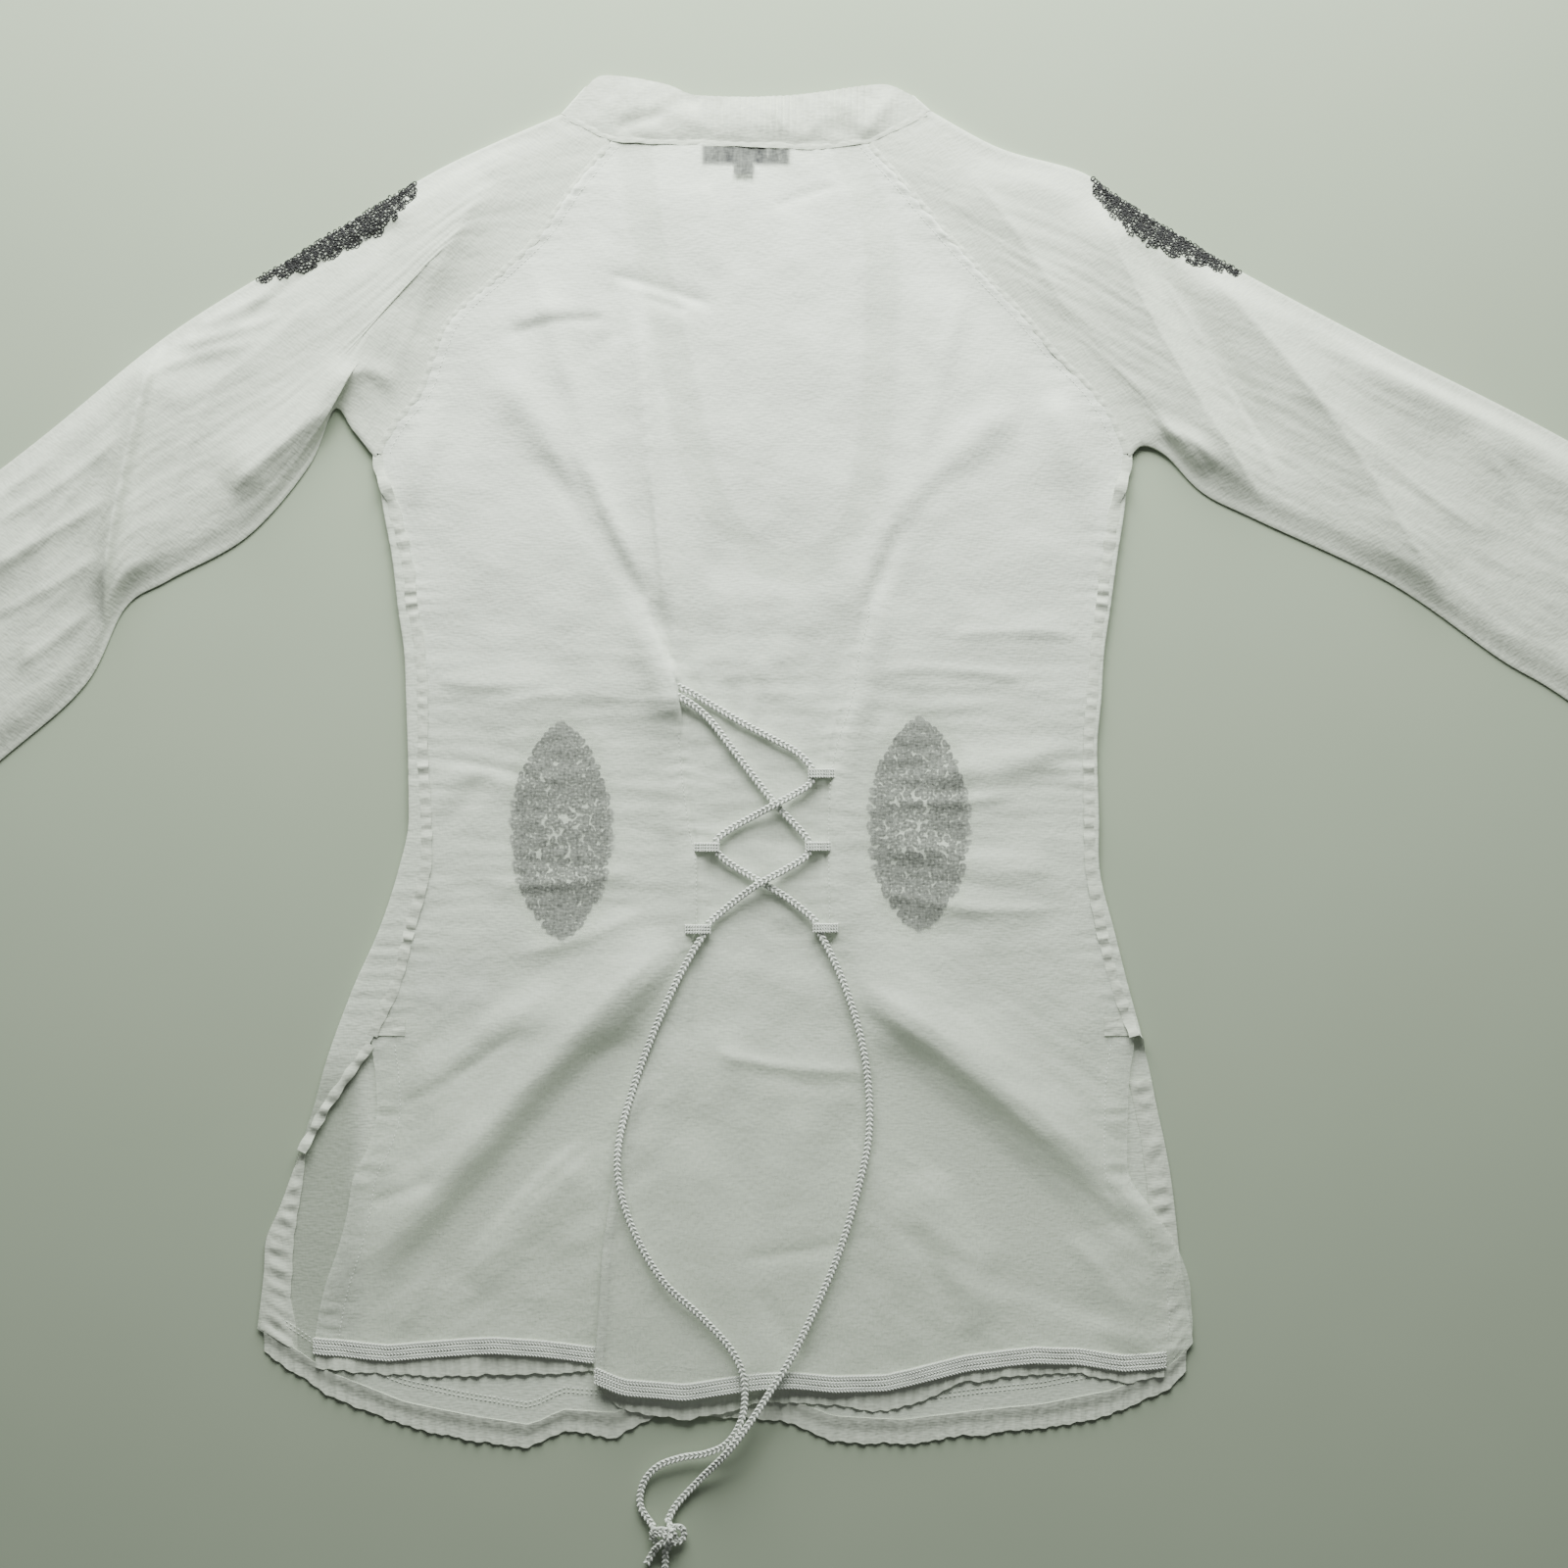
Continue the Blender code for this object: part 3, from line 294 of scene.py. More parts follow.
def backFine(x, y):
    # Creases, seam puckers and crinkles that the solid is too coarse for.
    inside, outwards, between = backPlace(x, y)
    fine = 1.8 * foldRelief(backCreases, x, y, crisp=True) * smooth(inside / 12)
    for height, narrow, size, seed in backCrumples:
        fine = fine + height * bumps(x * narrow, y, size, seed)
    # Long fine wrinkles: level ones at the waist, and slanted ones from the darts to the slits
    waist = smooth((130 - np.abs(y)) / 90)
    fine = fine + 0.5 * waist * bumps(x * 0.2, y, 6.0, 12.1)
    for side, start, slope in ((-1, -30, 0.86), (1, 40, 0.69)):
        along, across = x * side - y * slope, x * side * slope + y
        fine = fine + (0.55 * smooth((-70 - y) / 60) * smooth((x - start) * side / 30)
                       * bumps(along * 0.16, across, 8.0, 20.7 + side))
    fine = fine + 0.35 * smooth((y - 90) / 80) * bumps(x, y * 0.25, 9.0, 31.5)
    # Between the darts the cloth is crumpled in small hollows.
    fine = fine + 0.75 * between * smooth((120 - np.abs(y)) / 50) * bumps(x, y, 13, 17.3)
    fine = fine + ladder(inside, y, 8.5, 9, 0.55)
    inDarts = smooth((108 - y) / 12) * smooth((y + 104) / 14)
    for outward in outwards:
        slanted = y + 0.25 * np.abs(outward)
        fine = fine + inDarts * ladder(np.abs(outward), slanted, 7.3, 7, 0.5)
        fine = fine - 1.2 * inDarts * np.exp(-(outward / 1.5) ** 2)
        fine = fine + 1.1 * inDarts * smooth(outward / 1.6) * np.exp(-outward.clip(0) / 9)
    # A folded facing runs inside each slit's edge.
    welt = smooth((slitTop + 4 - y) / 8) * smooth(inside / 0.8) * smooth((14 - inside) / 2)
    fine = fine + welt * (0.55 + ladder(np.abs(inside - 7), y, 10.5, 12, 0.32))
    # The raglan seam's allowance is pressed to the body's side.
    allowance = smooth((y - 186) / 8) * smooth(inside / 0.8) * smooth((6.5 - inside) / 3)
    fine = fine + allowance * (0.35 + ladder(inside * 0, y + 0.3 * x, 6.2, 9, 0.4))
    fine = fine + ladder(np.abs(368 - y), x, 7.0, 12, 0.3) * smooth((y - 300) / 30)
    return fine * smooth(inside / 1.5)


def tuckRise(x, y):
    # The left dart's free fold, which covers the laces' first centimetre.
    edge = np.interp(-y, (-118, -92, -74, -62, -40, -28), (-62, -56.5, -50, -43.4, -42.2, -42))
    height = np.interp(-y, (-118, -98, -80, -68, -60, -48, -42, -36, -28),
                       (0, 0.8, 2.8, 5.2, 6.1, 6.1, 4.2, 1.4, 0))
    away = edge - x
    return height * smooth(away / 1.5 + 0.4) * np.exp(-(np.maximum(away, 0) / 24) ** 2)


def pleatShare(y):
    return smooth((lay["pleatTop"] - y) / 60)


def backRise(x, y):
    # How far the middle portion stands over the left one beside the pleat.
    beyond = np.maximum(x - bodyAt("dartLeft", y), 0)
    return lay["pleatStep"] * smooth((lay["pleatTop"] - y) / 110) * np.exp(-beyond / 90)


def backLevel(x, y):
    # Height of the back's cloth without the pleat. It sinks onto the front at the hem.
    deepest = 0.8 + 0.9 * smooth((-255 - y) / 60)
    return upperLevel - deepest + softFloor(0.9 + backPlain(x, y) + backFine(x, y))


def backHeight(x, y):
    # Middle of the back panel's cloth above the table, on the pleat's upper side.
    x, y = np.asarray(x, float), np.asarray(y, float)
    onTop = smooth((x - bodyAt("dartLeft", y)) / 1.5 + 1)
    return backLevel(x, y) + onTop * backRise(x, y)


# Meshes

def placed(name, data):
    item = bpy.data.objects.new(name, data)
    bpy.context.scene.collection.objects.link(item)
    return item


def plainMesh(name, points, edges=(), faces=()):
    mesh = bpy.data.meshes.new(name)
    mesh.from_pydata([tuple(point) for point in points], edges, [tuple(face) for face in faces])
    return mesh


def makeMesh(name, points, faces, material, smoothShade=True):
    mesh = plainMesh(name, points, faces=faces)
    if smoothShade:
        mesh.shade_smooth()
    mesh.materials.append(material)
    return placed(name, mesh)


def makeSheet(name, grid, material, cloth=lay["cloth"], closed=False, skip=None):
    # A thin shell through a grid of points in millimetres. A closed one is a tube.
    grid = np.array(grid, float)
    rows, across = grid.shape[:2]
    index = np.arange(rows * across).reshape(rows, across)
    following = np.roll(index, -1, axis=1) if closed else index[:, 1:]
    here = index if closed else index[:, :-1]
    faces = np.stack((here[:-1], following[:-1], following[1:], here[1:]), axis=-1)
    if skip is not None:
        keep = ~skip(np.arange(rows - 1)[:, None], np.arange(faces.shape[1])[None, :])
        faces = faces[keep]
    item = makeMesh(name, grid.reshape(-1, 3) * mm, faces.reshape(-1, 4), material)
    loose = bmesh.new()
    loose.from_mesh(item.data)
    bmesh.ops.delete(loose, geom=[v for v in loose.verts if not v.link_faces], context="VERTS")
    bmesh.ops.recalc_face_normals(loose, faces=loose.faces[:])
    for edge in loose.edges:
        edge.smooth = not edge.is_boundary
    loose.to_mesh(item.data)
    loose.free()
    wall = item.modifiers.new("Thickness", "SOLIDIFY")
    wall.thickness = cloth * mm
    wall.offset = 0
    wall.use_even_offset = False
    return item


def markSeeThrough(item, shareAt):
    # Keeps, for its material, how far each place of a cloth lets the eye through.
    places = np.array([vertex.co[:2] for vertex in item.data.vertices]) / mm
    kept = item.data.attributes.new("seeThroughAndShade", "FLOAT", "POINT")
    kept.data.foreach_set("value", shareAt(places[:, 0], places[:, 1]).astype(np.float32))


def pathObject(name, lines):
    # Lines of points in metres, as edges for a Geometry Nodes tree to follow.
    points, edges = [], []
    for line in lines:
        first = len(points)
        points += list(line)
        edges += [(first + place, first + place + 1) for place in range(len(line) - 1)]
    return placed(name, plainMesh(name, points, edges))


def addNode(tree, kind, settings=None, inputs=None, output=0):
    # One node, its settings, and its inputs as values or as other nodes' sockets. It gives one
    # of the node's outputs, or with None the node itself.
    node = tree.nodes.new(kind)
    for name, value in (settings or {}).items():
        setattr(node, name, value)
    for name, value in (inputs or {}).items():
        if isinstance(value, bpy.types.NodeSocket):
            tree.links.new(value, node.inputs[name])
        else:
            node.inputs[name].default_value = value
    return node if output is None else node.outputs[output]


def newTree(name, sockets):
    # A Geometry Nodes tree with named inputs.
    tree = bpy.data.node_groups.new(name, "GeometryNodeTree")
    tree.interface.new_socket("Geometry", in_out="INPUT", socket_type="NodeSocketGeometry")
    for label, kind in sockets.items():
        tree.interface.new_socket(label, in_out="INPUT", socket_type="NodeSocket" + kind)
    tree.interface.new_socket("Geometry", in_out="OUTPUT", socket_type="NodeSocketGeometry")
    return tree, tree.nodes.new("NodeGroupInput").outputs


def followEdges(tree, given):
    # The source's edges as a curve whose normal points up.
    line = addNode(tree, "GeometryNodeMeshToCurve", inputs={"Mesh": given["Geometry"]})
    return addNode(tree, "GeometryNodeSetCurveNormal", {"mode": "Z_UP"}, {"Curve": line})


def repeatAlong(tree, line, pitch, instance):
    # The same small form at even places along a curve.
    places = addNode(tree, "GeometryNodeCurveToPoints", {"mode": "LENGTH"},
                     {"Curve": line, "Length": pitch}, output=None).outputs
    return addNode(tree, "GeometryNodeInstanceOnPoints",
                   inputs={"Points": places["Points"], "Instance": instance,
                           "Rotation": places["Rotation"]})


def dressed(tree, geometry, material):
    real = addNode(tree, "GeometryNodeRealizeInstances", inputs={"Geometry": geometry})
    shaded = addNode(tree, "GeometryNodeSetShadeSmooth", inputs={"Geometry": real})
    return addNode(tree, "GeometryNodeSetMaterial",
                   inputs={"Geometry": shaded, "Material": material})


def endTree(tree, *geometries):
    whole = addNode(tree, "GeometryNodeJoinGeometry", output=None)
    for geometry in geometries:
        tree.links.new(geometry, whole.inputs[0])
    output = tree.nodes.new("NodeGroupOutput")
    tree.links.new(whole.outputs[0], output.inputs[0])


def growTree(name, source, tree, values):
    # Runs a tree on a source object and keeps the result as a plain mesh.
    grown = source.modifiers.new("Grow", "NODES")
    grown.node_group = tree
    labels = {item.name: item.identifier for item in tree.interface.items_tree
              if item.item_type == "SOCKET" and item.in_out == "INPUT"}
    for label, value in values.items():
        grown[labels[label]] = value
    bpy.context.view_layer.update()
    depsgraph = bpy.context.evaluated_depsgraph_get()
    mesh = bpy.data.meshes.new_from_object(source.evaluated_get(depsgraph), depsgraph=depsgraph)
    mesh.name = name
    source.modifiers.remove(grown)
    bpy.data.objects.remove(source, do_unlink=True)
    return placed(name, mesh)


# Geometry Nodes trees

# The ball that each stitch is stretched from
stitchBall = {"Radius": 0.5, "Subdivisions": 1}


def makeBraidTree():
    # A cord or braid along a path: an oval core with slanted stitches lying in columns on it.
    tree, given = newTree("plaitedCord", {"Width": "Float", "Height": "Float", "Pitch": "Float",
                                          "Slant": "Float", "Columns": "Float",
                                          "Stitches": "Material", "Core": "Material"})
    line = followEdges(tree, given)
    circle = addNode(tree, "GeometryNodeCurvePrimitiveCircle",
                     inputs={"Resolution": 12, "Radius": 0.43})
    oval = addNode(tree, "ShaderNodeCombineXYZ",
                   inputs={"X": given["Width"], "Y": given["Height"], "Z": 1.0})
    profile = addNode(tree, "GeometryNodeTransform", inputs={"Geometry": circle, "Scale": oval})
    core = addNode(tree, "GeometryNodeCurveToMesh",
                   inputs={"Curve": line, "Profile Curve": profile, "Fill Caps": True})
    ball = addNode(tree, "GeometryNodeMeshIcoSphere", inputs=stitchBall)
    wide = addNode(tree, "ShaderNodeMath", {"operation": "DIVIDE"},
                   {0: given["Width"], 1: given["Columns"]})
    narrow, long, thick, rise = (
        addNode(tree, "ShaderNodeMath", {"operation": "MULTIPLY"}, {0: whole, 1: share})
        for whole, share in ((given["Pitch"], 0.5), (wide, 1.5), (given["Height"], 0.36),
                             (given["Height"], -0.4)))
    size = addNode(tree, "ShaderNodeCombineXYZ", inputs={"X": narrow, "Y": thick, "Z": long})
    pair = addNode(tree, "GeometryNodeJoinGeometry", output=None)
    for side in (-1, 1):
        slant, beside = (
            addNode(tree, "ShaderNodeMath", {"operation": "MULTIPLY"}, {0: whole, 1: share})
            for whole, share in ((given["Slant"], side), (wide, side * 0.52)))
        turn = addNode(tree, "ShaderNodeCombineXYZ", inputs={"Y": slant})
        move = addNode(tree, "ShaderNodeCombineXYZ", inputs={"X": beside, "Y": rise})
        stitch = addNode(tree, "GeometryNodeTransform",
                         inputs={"Geometry": ball, "Scale": size, "Translation": move,
                                 "Rotation": turn})
        tree.links.new(stitch, pair.inputs[0])
    stitches = repeatAlong(tree, line, given["Pitch"], pair.outputs[0])
    endTree(tree, dressed(tree, core, given["Core"]),
            dressed(tree, stitches, given["Stitches"]))
    return tree


def makeStitchTree():
    # A row of sewing stitches along a path.
    tree, given = newTree("sewing", {"Pitch": "Float", "Length": "Float", "Thread": "Float",
                                     "Material": "Material"})
    size = addNode(tree, "ShaderNodeCombineXYZ",
                   inputs={"X": given["Thread"], "Y": given["Thread"], "Z": given["Length"]})
    ball = addNode(tree, "GeometryNodeMeshIcoSphere", inputs=stitchBall)
    stitch = addNode(tree, "GeometryNodeTransform", inputs={"Geometry": ball, "Scale": size})
    row = repeatAlong(tree, followEdges(tree, given), given["Pitch"], stitch)
    endTree(tree, dressed(tree, row, given["Material"]))
    return tree


def makeLoopTree():
    # Chain-stitch loops of thread, one at each point, turned by a fixed seed.
    tree, given = newTree("threadLoops", {"Loop": "Float", "Thread": "Float", "Press": "Float",
                                          "Seed": "Int", "Material": "Material"})
    circle = addNode(tree, "GeometryNodeCurvePrimitiveCircle",
                     inputs={"Resolution": 9, "Radius": 0.5})
    size = addNode(tree, "ShaderNodeCombineXYZ",
                   inputs={"X": given["Loop"], "Y": given["Loop"], "Z": 1.0})
    ring = addNode(tree, "GeometryNodeTransform", inputs={"Geometry": circle, "Scale": size})
    half = addNode(tree, "ShaderNodeMath", {"operation": "MULTIPLY"},
                   {0: given["Thread"], 1: 0.5})
    thread = addNode(tree, "GeometryNodeCurvePrimitiveCircle",
                     inputs={"Resolution": 4, "Radius": half})
    loop = addNode(tree, "GeometryNodeCurveToMesh",
                   inputs={"Curve": ring, "Profile Curve": thread})
    facing = addNode(tree, "GeometryNodeInputNamedAttribute", {"data_type": "FLOAT_VECTOR"},
                     {"Name": "facing"}, output="Attribute")
    flat = addNode(tree, "FunctionNodeAlignRotationToVector", {"axis": "Z"}, {"Vector": facing})
    angle = addNode(tree, "FunctionNodeRandomValue", {"data_type": "FLOAT"},
                    {2: 0.0, 3: math.tau, "Seed": given["Seed"]}, output=1)
    spin = addNode(tree, "FunctionNodeAxisAngleToRotation",
                   inputs={"Axis": (0.0, 0.0, 1.0), "Angle": angle})
    turned = addNode(tree, "FunctionNodeRotateRotation", {"rotation_space": "LOCAL"},
                     {"Rotation": flat, "Rotate By": spin})
    stretch = addNode(tree, "FunctionNodeRandomValue", {"data_type": "FLOAT_VECTOR"},
                      {0: (0.75, 0.55, 0.9), 1: (1.15, 0.9, 1.1), "Seed": given["Seed"]})
    press = addNode(tree, "ShaderNodeCombineXYZ",
                    inputs={"X": 1.0, "Y": 1.0, "Z": given["Press"]})
    pressed = addNode(tree, "ShaderNodeVectorMath", {"operation": "MULTIPLY"},
                      {0: stretch, 1: press})
    loops = addNode(tree, "GeometryNodeInstanceOnPoints",
                    inputs={"Points": given["Geometry"], "Instance": loop,
                            "Rotation": turned, "Scale": pressed})
    endTree(tree, dressed(tree, loops, given["Material"]))
    return tree


# Materials

voile = {"white": "#f1f7ec", "front": "#d8dfd2", "doubled": "#d5dbce", "threadPitchMm": 1.2,
         "weaveDepthMm": 0.10, "crinkleMm": 3.4, "crinkleDepthMm": 0.12, "uneven": 0.14}


def startMaterial(name):
    # A material, its tree, and the object's own coordinates.
    material = bpy.data.materials.new(name)
    material.use_nodes = True
    tree = material.node_tree
    tree.nodes.clear()
    return material, tree, addNode(tree, "ShaderNodeTexCoord", output="Object")


def makeVoile(name, turn=0.0, seeThroughAndShade=False, colour=voile["white"]):
    # Cotton voile, thin and plain woven: matt and white, with uneven threads. What lies under it
    # shows through by a share kept on the mesh; on the back that share is partly painted shade.
    material, tree, place = startMaterial(name)
    cloth = addNode(tree, "ShaderNodeMapping", inputs={"Vector": place,
                                                      "Rotation": (0.0, 0.0, turn)})
    # Real threads are 0.35 mm apart, too fine to show, so slubs of about four threads are drawn.
    threads = []
    for stretch in ((0.35, 1.0, 1.0), (1.0, 0.3, 1.0)):
        along = addNode(tree, "ShaderNodeMapping", inputs={"Vector": cloth, "Scale": stretch})
        threads.append(addNode(tree, "ShaderNodeTexNoise", {"noise_dimensions": "2D"},
                               {"Vector": along, "Detail": 0.0,
                                "Scale": 1 / (voile["threadPitchMm"] * mm)}))
    weave = addNode(tree, "ShaderNodeMath", {"operation": "ADD"}, dict(enumerate(threads)))
    crinkle = addNode(tree, "ShaderNodeTexNoise", {"noise_dimensions": "2D"},
                      {"Vector": cloth, "Detail": 0.0, "Scale": 1 / (voile["crinkleMm"] * mm)})
    relief = addNode(tree, "ShaderNodeMath", {"operation": "MULTIPLY_ADD"},
                     {0: crinkle, 1: voile["crinkleDepthMm"] / voile["weaveDepthMm"],
                      2: weave})
    bump = addNode(tree, "ShaderNodeBump", inputs={"Height": relief, "Strength": 1.0,
                                                  "Distance": voile["weaveDepthMm"] * mm})
    surface = addNode(tree, "ShaderNodeBsdfDiffuse", inputs={"Color": hexColour(colour),
                                                            "Normal": bump})
    if seeThroughAndShade:
        share = addNode(tree, "ShaderNodeAttribute", {"attribute_name": "seeThroughAndShade"},
                        output="Fac")
        uneven = addNode(tree, "ShaderNodeMath", {"operation": "MULTIPLY_ADD"},
                         {0: weave, 1: voile["uneven"], 2: 1 - voile["uneven"]})
        shown = addNode(tree, "ShaderNodeMath", {"operation": "MULTIPLY", "use_clamp": True},
                        {0: share, 1: uneven})
        clear = addNode(tree, "ShaderNodeBsdfTransparent")
        surface = addNode(tree, "ShaderNodeMixShader", inputs={0: shown, 1: surface, 2: clear})
    addNode(tree, "ShaderNodeOutputMaterial", inputs={"Surface": surface}, output=None)
    return material


def makeThread(name, low, high, roughness, sheen, fibreMm):
    # Twisted cotton thread: fine fibres run through it and catch the light unevenly.
    material, tree, place = startMaterial(name)
    fibres = addNode(tree, "ShaderNodeTexNoise", {"noise_dimensions": "3D"},
                     {"Vector": place, "Detail": 3.0, "Scale": 1 / (fibreMm * mm)})
    tint = addNode(tree, "ShaderNodeMix", {"data_type": "RGBA"},
                   {0: fibres, 6: hexColour(low), 7: hexColour(high)}, output=2)
    bump = addNode(tree, "ShaderNodeBump", inputs={"Height": fibres, "Strength": 0.6,
                                                  "Distance": 0.0002})
    surface = addNode(tree, "ShaderNodeBsdfPrincipled",
                      inputs={"Base Color": tint, "Roughness": roughness,
                              "Sheen Weight": sheen, "Normal": bump})
    addNode(tree, "ShaderNodeOutputMaterial", inputs={"Surface": surface}, output=None)
    return material


backVoile = makeVoile("cottonVoileBack", seeThroughAndShade=True)
frontVoile = makeVoile("cottonVoileFront", seeThroughAndShade=True, colour=voile["front"])
sleeveVoiles = [makeVoile("cottonVoileLeftSleeve", math.radians(37), colour=voile["doubled"]),
                makeVoile("cottonVoileRightSleeve", math.radians(-30), colour=voile["doubled"])]
doubledVoile = makeVoile("cottonVoileDoubled", colour=voile["doubled"])
mercerised = makeThread("mercerisedBraid", "#eaeee7", "#fdfefb", 0.42, 0.2, 0.8)
laceCotton = makeThread("braidedCottonLace", "#e9ede6", "#fcfdfa", 0.5, 0.2, 0.8)
# The cords' core is the same white cotton, made grey as painted shade for the dark gaps between
# the stitches.
paintedShadeCotton = makeThread("paintedShadeBetweenStitches", "#b9c0b6", "#cbd1c8", 0.8, 0.1, 0.8)
whiteThread = makeThread("sewingCotton", "#e4e8e2", "#f6f8f3", 0.6, 0.1, 0.5)
darkThread = makeThread("charcoalEmbroideryCotton", "#0e0e10", "#26262a", 0.6, 0.12, 0.6)
darkTape = makeThread("wovenDarkTape", "#1b1c20", "#34353a", 0.7, 0.2, 0.7)
paleTape = makeThread("satinCareTape", "#c9cdca", "#e2e5e2", 0.35, 0.1, 0.9)
print("materials ready")


# Camera, light and table

studio = {"aimX": 16.8, "halfView": 448, "height": 1300, "tableColour": "#aab5a2",
          "mottleColour": "#a5b09d", "tableReach": 3, "tableTop": -0.0001,
          "lightPlace": (-0.02, 1.10, 0.50), "lightSize": (1.2, 0.8), "lightPower": 56,
          "lightColour": (0.96, 1.0, 0.94), "worldColour": "#eef2ee", "worldStrength": 0.13}


def makeStudio():
    camera = bpy.data.cameras.new("camera")
    camera.sensor_width = 36
    camera.lens = 18 * (studio["height"] - 5) / studio["halfView"]
    camera.clip_start, camera.clip_end = 0.05, 20
    eye = placed("camera", camera)
    eye.location = (studio["aimX"] * mm, 0, studio["height"] * mm)
    bpy.context.scene.camera = eye
    light = bpy.data.lights.new("window", "AREA")
    light.shape = "RECTANGLE"
    light.size, light.size_y = studio["lightSize"]
    light.energy = studio["lightPower"]
    light.color = studio["lightColour"]
    lamp = placed("window", light)
    lamp.location = studio["lightPlace"]
    lamp.rotation_euler = (-Vector(studio["lightPlace"])).to_track_quat("-Z", "Y").to_euler()
    world = bpy.data.worlds.new("room")
    world.use_nodes = True
    sky = world.node_tree.nodes["Background"]
    sky.inputs["Color"].default_value = hexColour(studio["worldColour"])
    sky.inputs["Strength"].default_value = studio["worldStrength"]
    bpy.context.scene.world = world


def makeTable():
    # A painted table top: smooth and pale, with a faint mottle.
    material, tree, place = startMaterial("paintedTable")
    mottle = addNode(tree, "ShaderNodeTexNoise", inputs={"Vector": place, "Scale": 9.0,
                                                        "Detail": 3.0})
    tint = addNode(tree, "ShaderNodeMix", {"data_type": "RGBA"},
                   {0: mottle, 6: hexColour(studio["mottleColour"]),
                    7: hexColour(studio["tableColour"])}, output=2)
    surface = addNode(tree, "ShaderNodeBsdfDiffuse", inputs={"Color": tint})
    addNode(tree, "ShaderNodeOutputMaterial", inputs={"Surface": surface}, output=None)
    reach = studio["tableReach"]
    corners = [(x * reach, y * reach, studio["tableTop"])
               for x, y in ((-1, -1), (1, -1), (1, 1), (-1, 1))]
    table = makeMesh("table", corners, [(0, 1, 2, 3)], material, smoothShade=False)


makeStudio()
makeTable()
print("studio ready")


# Laces: each route is x, y and how far it rises over what it lies on, in metres

laceSize = {"width": 0.0044, "height": 0.0025, "pitch": 0.0027, "slant": 0.72, "columns": 2.0,
            "rise": 0.66, "gap": 0.0016}
laceA = [
    (-0.046, 0.057, 0), (-0.034, 0.051, 0), (-0.024, 0.045, 0), (-0.007, 0.035, 0),
    (0.01, 0.026, 0), (0.023, 0.019, 0.0004), (0.031, 0.0115, 0.0015), (0.0335, 0.0055, 0.0015),
    (0.031, -0.0005, 0.0015), (0.022, -0.006, 0.002), (0.012, -0.0115, 0.0052),
    (0.001, -0.0175, 0.002), (-0.011, -0.024, 0.0006), (-0.0205, -0.0305, 0.0015),
    (-0.0225, -0.0355, 0.0015), (-0.0195, -0.041, 0.0015), (-0.01, -0.048, 0), (0.003, -0.0555, 0),
    (0.018, -0.0645, 0), (0.029, -0.073, 0.0006), (0.0345, -0.078, 0.0015),
    (0.036, -0.082, 0.0015), (0.038, -0.0865, 0.0015), (0.043, -0.096, 0.0004), (0.051, -0.114, 0),
    (0.06, -0.142, 0), (0.065, -0.172, 0), (0.065, -0.203, 0), (0.058, -0.235, 0),
    (0.049, -0.265, 0), (0.038, -0.292, 0), (0.022, -0.325, 0), (0.009, -0.346, 0.0012),
    (-0.003, -0.364, 0.003), (-0.016, -0.381, 0.0052), (-0.031, -0.3975, 0.0008),
    (-0.0445, -0.4125, 0.0002), (-0.0494, -0.4212, 0.0014)]
laceB = [
    (-0.046, 0.0515, 0), (-0.035, 0.045, 0), (-0.025, 0.036, 0), (-0.013, 0.0205, 0),
    (0.0, 0.0035, 0), (0.012, -0.0115, 0), (0.023, -0.023, 0.0002), (0.03, -0.031, 0.0015),
    (0.0315, -0.0365, 0.0015), (0.0285, -0.042, 0.0015), (0.017, -0.049, 0.002),
    (0.003, -0.0565, 0.0052), (-0.009, -0.065, 0.002), (-0.02, -0.074, 0.0006),
    (-0.0262, -0.0795, 0.0015), (-0.028, -0.0835, 0.0015), (-0.0304, -0.088, 0.0015),
    (-0.036, -0.097, 0.0004), (-0.045, -0.114, 0), (-0.056, -0.138, 0), (-0.068, -0.17, 0),
    (-0.077, -0.203, 0), (-0.077, -0.228, 0), (-0.068, -0.256, 0), (-0.052, -0.283, 0),
    (-0.031, -0.303, 0), (-0.015, -0.32, 0), (-0.007, -0.335, 0), (-0.0055, -0.35, 0),
    (-0.008, -0.364, 0), (-0.016, -0.3765, 0), (-0.028, -0.3825, 0), (-0.042, -0.385, 0),
    (-0.055, -0.39, 0), (-0.0635, -0.4, 0), (-0.0655, -0.413, 0.0002), (-0.0586, -0.424, 0.0014)]
tailLeft = [
    (-0.0567, -0.4376, 0.0014), (-0.059, -0.4415, 0.0007), (-0.0615, -0.446, 0)]
tailDown = [
    (-0.051, -0.4391, 0.0014), (-0.0512, -0.448, 0.0004), (-0.053, -0.459, 0), (-0.058, -0.47, 0),
    (-0.06, -0.478, 0)]
# The knot's wraps and lobe in millimetres, round its middle
knotMiddle = (-52, -430)
knotLines = [
    [(2.6, 8.8, 3.2), (4, 5, 5.2), (3, 0, 6.8), (-2, -4, 6.6), (-5, -7.6, 3.4)],
    [(-6.6, 6, 3.2), (-5, 3, 4.8), (0, 2, 3.0), (4, -2, 2.6), (3, -6, 3.2), (1, -9.1, 3.2)],
    [(-6.5, 1.5, 2.4), (-4.5, 4.2, 6.4), (1, 4.6, 7.4), (5.6, 1.6, 5.2), (6.4, -1.6, 2.6),
     (3, -4.4, 2.2), (-2, -4.6, 2.2), (-6, -2, 2.6), (-6.2, 1, 4.6), (-2, 2.6, 7.2),
     (3, 0, 7.4), (5, -4.6, 4.6)],
    [(1, 3, 4.4), (6, 5.4, 4.8), (10.4, 4.6, 3.6), (11.6, 0, 2.6), (9.4, -3.4, 2.6),
     (4, -2.6, 4.2)],
]


def laceGround(x, y):
    # What a lace lies on, in millimetres: the back, its braid and ruffle, then the table.
    hem = edgeAt(backHemLeft + backHemRight, x)
    onCloth = backHeight(x, np.maximum(y, hem + 1))
    braid = smooth((hem + 20 - y) / 8)
    off = smooth((hem - 13 - y) / 34)
    return (onCloth + 0.5 + lay["layer"] * braid) * (1 - off)


